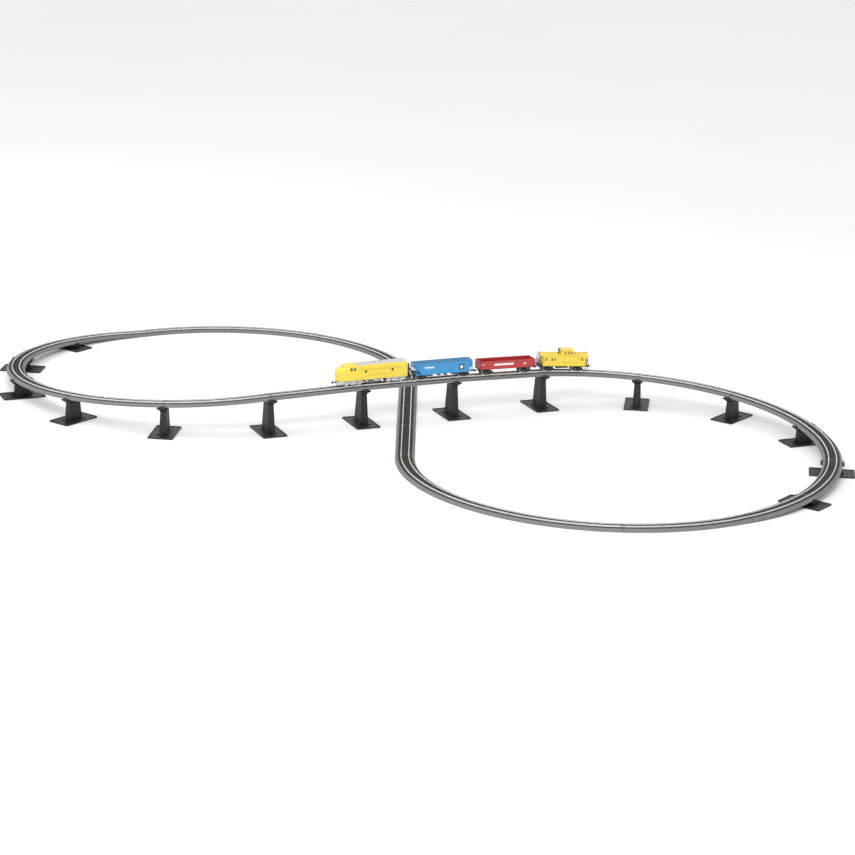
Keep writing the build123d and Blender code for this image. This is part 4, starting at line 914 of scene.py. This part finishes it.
def loco_ends():
    """Silver pilot below the nose, bellows at the rear, and trim on the fuel tank."""
    pilot, bellows, tank = Shape(loco), Shape(loco), Shape(loco)
    rings = []
    for x, half, low in ((74.0, 16.2, 9.0), (82.0, 14.2, 5.4), (87.0, 10.4, 4.4), (89.4, 5.4, 4.0)):
        outline = ((half - 1.0, low), (half, low), (half, 14.9), (half - 1.0, 14.9))
        rings.append([(x, y, z) for y, z in outline])
    pilot.face_loop(rings)
    pilot.face_loop([[(x, -y, z) for x, y, z in ring] for ring in rings])
    for z in (6.2, 8.8, 11.4):
        for side in (-1, 1):
            bar = ((76.0, 16.2), (82.0, 14.6), (87.0, 10.8), (89.3, 5.6))
            pilot.rod([(x, side * y, z) for x, y in bar], 0.4, 6)
    pilot.slab((87.5, 89.3), (-5.8, 5.8), (12.6, 14.9))
    pilot.slab((87.7, 89.1), (-5.8, 5.8), (4.0, 6.2))
    pilot.place("locomotive_pilot", "locomotive", "silver", "truck_silver", bevel=0.2)
    for step in range(6):
        x = -81.6 - step * 0.85
        for side in (-1, 1):
            bellows.slab((x - 0.28, x + 0.28), span(side, 4.0, 15.6), (14.4, 42.6))
        bellows.slab((x - 0.28, x + 0.28), (-15.6, 15.6), (37.4, 42.6))
    bellows.place("locomotive_bellows", "locomotive", "black", "chassis_metal", bevel=0.1)
    for x in (-13.0, 1.5, 16.0):
        for side in (-1, 1):
            tank.rod([(x, side * 15.2, 14.2), (x, side * 15.7, 8.6), (x, side * 9.2, 4.9)], 0.45, 6)
    filler_cap = [(0, 1.4), (0.7, 1.3), (0.9, 0.9), (1.0, 0.2)]
    reservoir = [(-6, 0.4), (-5.4, 1.4), (5.4, 1.4), (6, 0.4)]
    for side in (-1, 1):
        tank.lathe((-9.0, side * 15.2, 11.6), (0, side, 0), filler_cap, 16)
        tank.lathe((9.0, side * 15.0, 10.8), (1, 0, 0), reservoir, 14)
    tank.place("locomotive_tank_trim", "locomotive", "black", "chassis_metal", smooth=True)


loco_sides()
loco_openings()
loco_roof()
loco_ends()

# ------------------------------------------------------------------ covered hopper
hopper = vehicles["hopper"]
HOPPER_WALL, HOPPER_END = 17.6, 72
HATCHES = (-54.0, -32.4, -10.8, 10.8, 32.4, 54.0)
OUTLETS = ((31.0, 14.0), (8.0, 8.4), (-8.0, 8.4), (-31.0, 14.0))


def hopper_trim():
    """Side ribs, ladders, hatch battens, roof walk, outlet gates and brake wheel."""
    ribs, irons, roof, gates = Shape(hopper), Shape(hopper), Shape(hopper), Shape(hopper)
    for side in (-1, 1):
        wall = side * HOPPER_WALL
        for step in range(9):
            x = -56.0 + step * 14.0
            ribs.slab((x - 0.3, x + 0.3), sorted((wall - side * 0.1, wall + side * 0.22)), (15.0, 33.4))
        ribs.slab((-HOPPER_END, HOPPER_END), sorted((wall - side * 0.1, wall + side * 0.35)), (33.0, 34.0))
        for x in (-66.5, 66.5):
            ladder(irons, x, wall, (16.0, 36.5), (1, 0, 0), (0, side, 0), 6)
        for end in (-1, 1):
            face = end * HOPPER_END
            for z in (18, 23):
                irons.grab((face, side * 15.4, z), (face, side * 11.0, z), (end * 0.8, 0, 0))
            irons.rod([(end * 70.6, side * 12.4, 14.4), (end * 66.0, side * 12.4, 22.6)], 0.4, 6)
            ribs.rod([(end * 71.2, side * 16.4, 16), (end * 57.5, side * 16.4, 16.4)], 0.35, 6)
    for x in HATCHES:
        for side in (-1, 1):
            for dx in (-5.0, 0.0, 5.0):
                roof.slab((x + dx - 0.5, x + dx + 0.5), span(side, 4.2, 9.0), (40.7, 41.3))
            roof.rod([(x - 8.5, side * 4.3, 41.0), (x + 8.5, side * 4.3, 41.0)], 0.3, 6)
    for step in range(35):
        x = -68.0 + step * 4.0
        roof.slab((x - 0.5, x + 0.5), (-3.2, 3.2), (40.9, 41.3))
    for x, length in OUTLETS:
        low, high = x - length / 2, x + length / 2
        gates.slab((low, high), (-8.6, 8.6), (6.2, 6.9))
        for side in (-1, 1):
            gates.rod([(low - 0.6, side * 8.4, 6.7), (high + 0.6, side * 8.4, 6.7)], 0.4, 6)
            gates.rod([(x, side * 8.4, 6.7), (x, side * 11.5, 7.4)], 0.35, 6)
    brake_wheel(irons, (73.4, 8.0, 33.5), (1, 0, 0))
    ribs.place("hopper_side_ribs", "hopper", finish_of("hopper_body"), "hopper_blue")
    irons.place("hopper_ladders", "hopper", "blue", "hopper_blue", smooth=True)
    roof.place("hopper_hatch_battens", "hopper", "shaded_teal", "roof_teal")
    gates.place("hopper_gates", "hopper", "black", "underframe_black", smooth=True)


hopper_trim()

# ------------------------------------------------------------------ gondola
gondola = vehicles["gondola"]
GONDOLA_INSIDE, GONDOLA_WALL, GONDOLA_END = 16.3, 17.8, 70.2


def gondola_trim():
    """Floor boards, inner ribs, ladders, grab irons and brake wheel."""
    inside, irons = Shape(gondola), Shape(gondola)
    for step in range(22):
        x = -66.0 + step * 6.2
        inside.slab((x - 2.9, x + 2.9), (-16.2, 16.2), (15.9, 16.35), taper=0.12)
    for side in (-1, 1):
        wall = side * GONDOLA_INSIDE
        for step in range(12):
            x = -63.4 + step * 11.53
            inside.slab((x - 0.5, x + 0.5), sorted((wall, wall - side * 0.5)), (16.2, 33.0))
        for x in (-66.0, 66.0):
            ladder(irons, x, side * GONDOLA_WALL, (15.0, 31.5), (1, 0, 0), (0, side, 0), 4)
        for end in (-1, 1):
            face = end * GONDOLA_END
            for z in (20.0, 25.0, 30.0):
                irons.grab((face, side * 15.6, z), (face, side * 12.6, z), (end * 0.9, 0, 0))
    brake_wheel(irons, (71.9, 8.5, 31.0), (1, 0, 0))
    inside.place("gondola_floor_boards", "gondola", "red", "gondola_red")
    irons.place("gondola_ladders", "gondola", "red", "gondola_red", smooth=True)


gondola_trim()

# ------------------------------------------------------------------ caboose
caboose = vehicles["caboose"]
CABOOSE_WALL, CUPOLA_WALL = 16.4, 13.4
WALK_ENDS = (-59.0, 22.3)


def caboose_trim():
    """Window frames and panes, boards, railings, ladders, lamps, stack and tanks."""
    frames, irons, panes, dark = Shape(caboose), Shape(caboose), Shape(caboose), Shape(caboose)
    lamps, boards = Shape(caboose), Shape(caboose)
    stack = [(0, 2.4), (0.8, 1.6), (9.8, 1.6), (10.0, 2.6), (11.8, 2.7), (13.4, 0.6)]
    vent = [(0, 1.1), (1.4, 1.1), (1.5, 1.7), (2.4, 1.5), (2.9, 0.3)]
    marker = [(-0.8, 0.7), (0.8, 0.9), (1.2, 0.8), (1.3, 0.2)]
    side_windows = ((45.5, 5.0), (31.0, 4.2), (24.3, 4.2), (-44.6, 5.0))
    windows = [(x, length, CABOOSE_WALL, 27.0, 33.0) for x, length in side_windows]
    windows += [(x, 4.4, CUPOLA_WALL, 43.2, 48.2) for x in (-17.2, -9.6, -2.0)]
    for side in (-1, 1):
        for x, length, wall, low, high in windows:
            y = span(side, wall - 0.3, wall + 0.35)
            for z in (low - 0.5, high):
                frames.slab((x - length / 2 - 0.5, x + length / 2 + 0.5), y, (z, z + 0.5))
            for edge in (-length / 2 - 0.5, length / 2):
                frames.slab((x + edge, x + edge + 0.5), y, (low - 0.5, high + 0.5))
            frames.slab((x - length / 2, x + length / 2), y, ((low + high) / 2 - 0.2, (low + high) / 2 + 0.2))
            pane_x, pane_z = (x - length / 2 - 0.3, x + length / 2 + 0.3), (low - 0.3, high + 0.3)
            panes.slab(pane_x, span(side, wall - 0.59, wall - 0.3), pane_z)
        for step in range(18):
            x = -52.0 + step * 6.1
            boards.slab((x - 0.18, x + 0.18), span(side, 16.3, 16.56), (14.4, 38.0))
        for z in (14.2, 38.2):
            boards.slab((-54.8, 52.8), span(side, 16.3, 16.8), (z, z + 0.9))
        for x in (-53.6, 51.6):
            y = side * CABOOSE_WALL
            irons.grab((x, y, 18.0), (x, y, 31.0), (0, side * 1.1, 0), 0.3)
        irons.grab((-24.5, side * 13.0, 43.4), (-24.5, side * 9.0, 43.4), (-0.8, 0, 0), 0.25)
        for end, x in ((1, 60.4), (-1, -60.4)):
            irons.rod([(x, side * 13.0, 24.2), (x, side * 13.0, 40.4)], 0.55, 6)
            step_x, step_y = x - end * 3.0, side * 15.4
            irons.rod([(x, side * 13.0, 30.0), (step_x, step_y, 24.0), (step_x, step_y, 16.0)], 0.45, 6)
            lamp_x = end * (55.0 if end > 0 else 56.8)
            lamps.lathe((lamp_x, side * 16.6, 33.0), (end, 0, 0), marker, 14)
    for end, x in ((1, 60.8), (-1, -60.8)):
        for rung in range(7):
            z = 18.0 + rung * 3.6
            irons.rod([(x, -2.6, z), (x, 2.6, z)], 0.26, 6)
        for y in (-2.7, 2.7):
            stile = [(x, y, 14.0), (x, y, 42.0), (x - end * 2.2, y, 44.6), (x - end * 5.0, y, 43.4)]
            irons.rod(stile, 0.34, 6)
        brake_wheel(irons, (x, 8.0, 27.0), (0, 0, 1), 2.8)
        irons.rod([(x, 8.0, 14.0), (x, 8.0, 27.0)], 0.35, 6)
        jamb_near, pane_far, pane_near = (7.0, 9.6, 9.3) if end > 0 else (5.1, 7.6, 7.3)
        for y in (-3.9, 3.4):
            frames.slab(sorted((x - end * 7.9, x - end * jamb_near)), (y, y + 0.5), (15.2, 34.2))
        panes.slab(sorted((x - end * pane_far, x - end * pane_near)), (-3.1, 3.1), (24.5, 32.5))
    dark.lathe((12.5, 5.0, 41.0), (0, 0, 1), stack, 18)
    dark.lathe((-27.0, -8.0, 41.2), (0, 0, 1), vent, 14)
    dark.lathe((-4.0, 8.0, 9.6), (1, 0, 0), [(-9, 0.6), (-8, 2.6), (8, 2.6), (9, 0.6)], 18)
    dark.slab((4.0, 18.0), (-13.0, -6.0), (7.6, 12.4))
    dark.slab((6.0, 19.0), (7.0, 13.4), (7.8, 12.4))
    for step in range(24):
        x = WALK_ENDS[0] + step * 1.55
        boards.slab((x - 0.45, x + 0.45), (-3.6, 3.6), (42.9, 43.2))
        low, high = WALK_ENDS[1] - 1.45 + step * 1.6, WALK_ENDS[1] - 0.55 + step * 1.6
        boards.slab((low, high), (-3.6, 3.6), (42.9, 43.2))
    frames.place("caboose_window_frames", "caboose", "yellow", "caboose_yellow")
    boards.place("caboose_battens_and_walk", "caboose", "yellow", "caboose_yellow")
    panes.place("caboose_panes", "caboose", "glass", "window_clear")
    irons.place("caboose_railings", "caboose", "black", "underframe_black", smooth=True)
    dark.place("caboose_stack_and_tanks", "caboose", "black", "underframe_black", bevel=0.1)
    lamps.place("caboose_marker_lamps", "caboose", "lamp", "gondola_red", smooth=True)


caboose_trim()

# ------------------------------------------------------------------ floor and light
FLOOR = 12.0
floor_mesh = bpy.data.meshes.new("floor")
floor_corners = [(-FLOOR, -FLOOR, 0), (FLOOR, -FLOOR, 0), (FLOOR, FLOOR, 0), (-FLOOR, FLOOR, 0)]
floor_mesh.from_pydata(floor_corners, [], [(0, 1, 2, 3)])
floor = bpy.data.objects.new("floor", floor_mesh)
bpy.context.scene.collection.objects.link(floor)
floor_paint = Paint("floor_paint", (0.93, 0.93, 0.93), 0.85)
floor_paint.mottle(1.5, (0.90, 0.90, 0.90), 0.5)
floor_mesh.materials.append(floor_paint.done())

world = bpy.data.worlds.new("studio")
bpy.context.scene.world = world
world.use_nodes = True
world.node_tree.nodes["Background"].inputs["Color"].default_value = (1.0, 1.0, 1.0, 1.0)
world.node_tree.nodes["Background"].inputs["Strength"].default_value = 0.9


def lamp(name, place, size, power):
    """Large soft area light aimed at the middle of the layout."""
    data = bpy.data.lights.new(name, "AREA")
    data.shape = "DISK"
    data.size, data.energy = size, power
    light = bpy.data.objects.new(name, data)
    bpy.context.scene.collection.objects.link(light)
    light.location = place
    light.rotation_mode = "QUATERNION"
    light.rotation_quaternion = (-Vector(place)).to_track_quat("-Z", "Y")


lamp("key", (1.6, -3.4, 3.6), 2.4, 110.0)
lamp("fill", (-3.2, -1.6, 2.6), 2.6, 40.0)
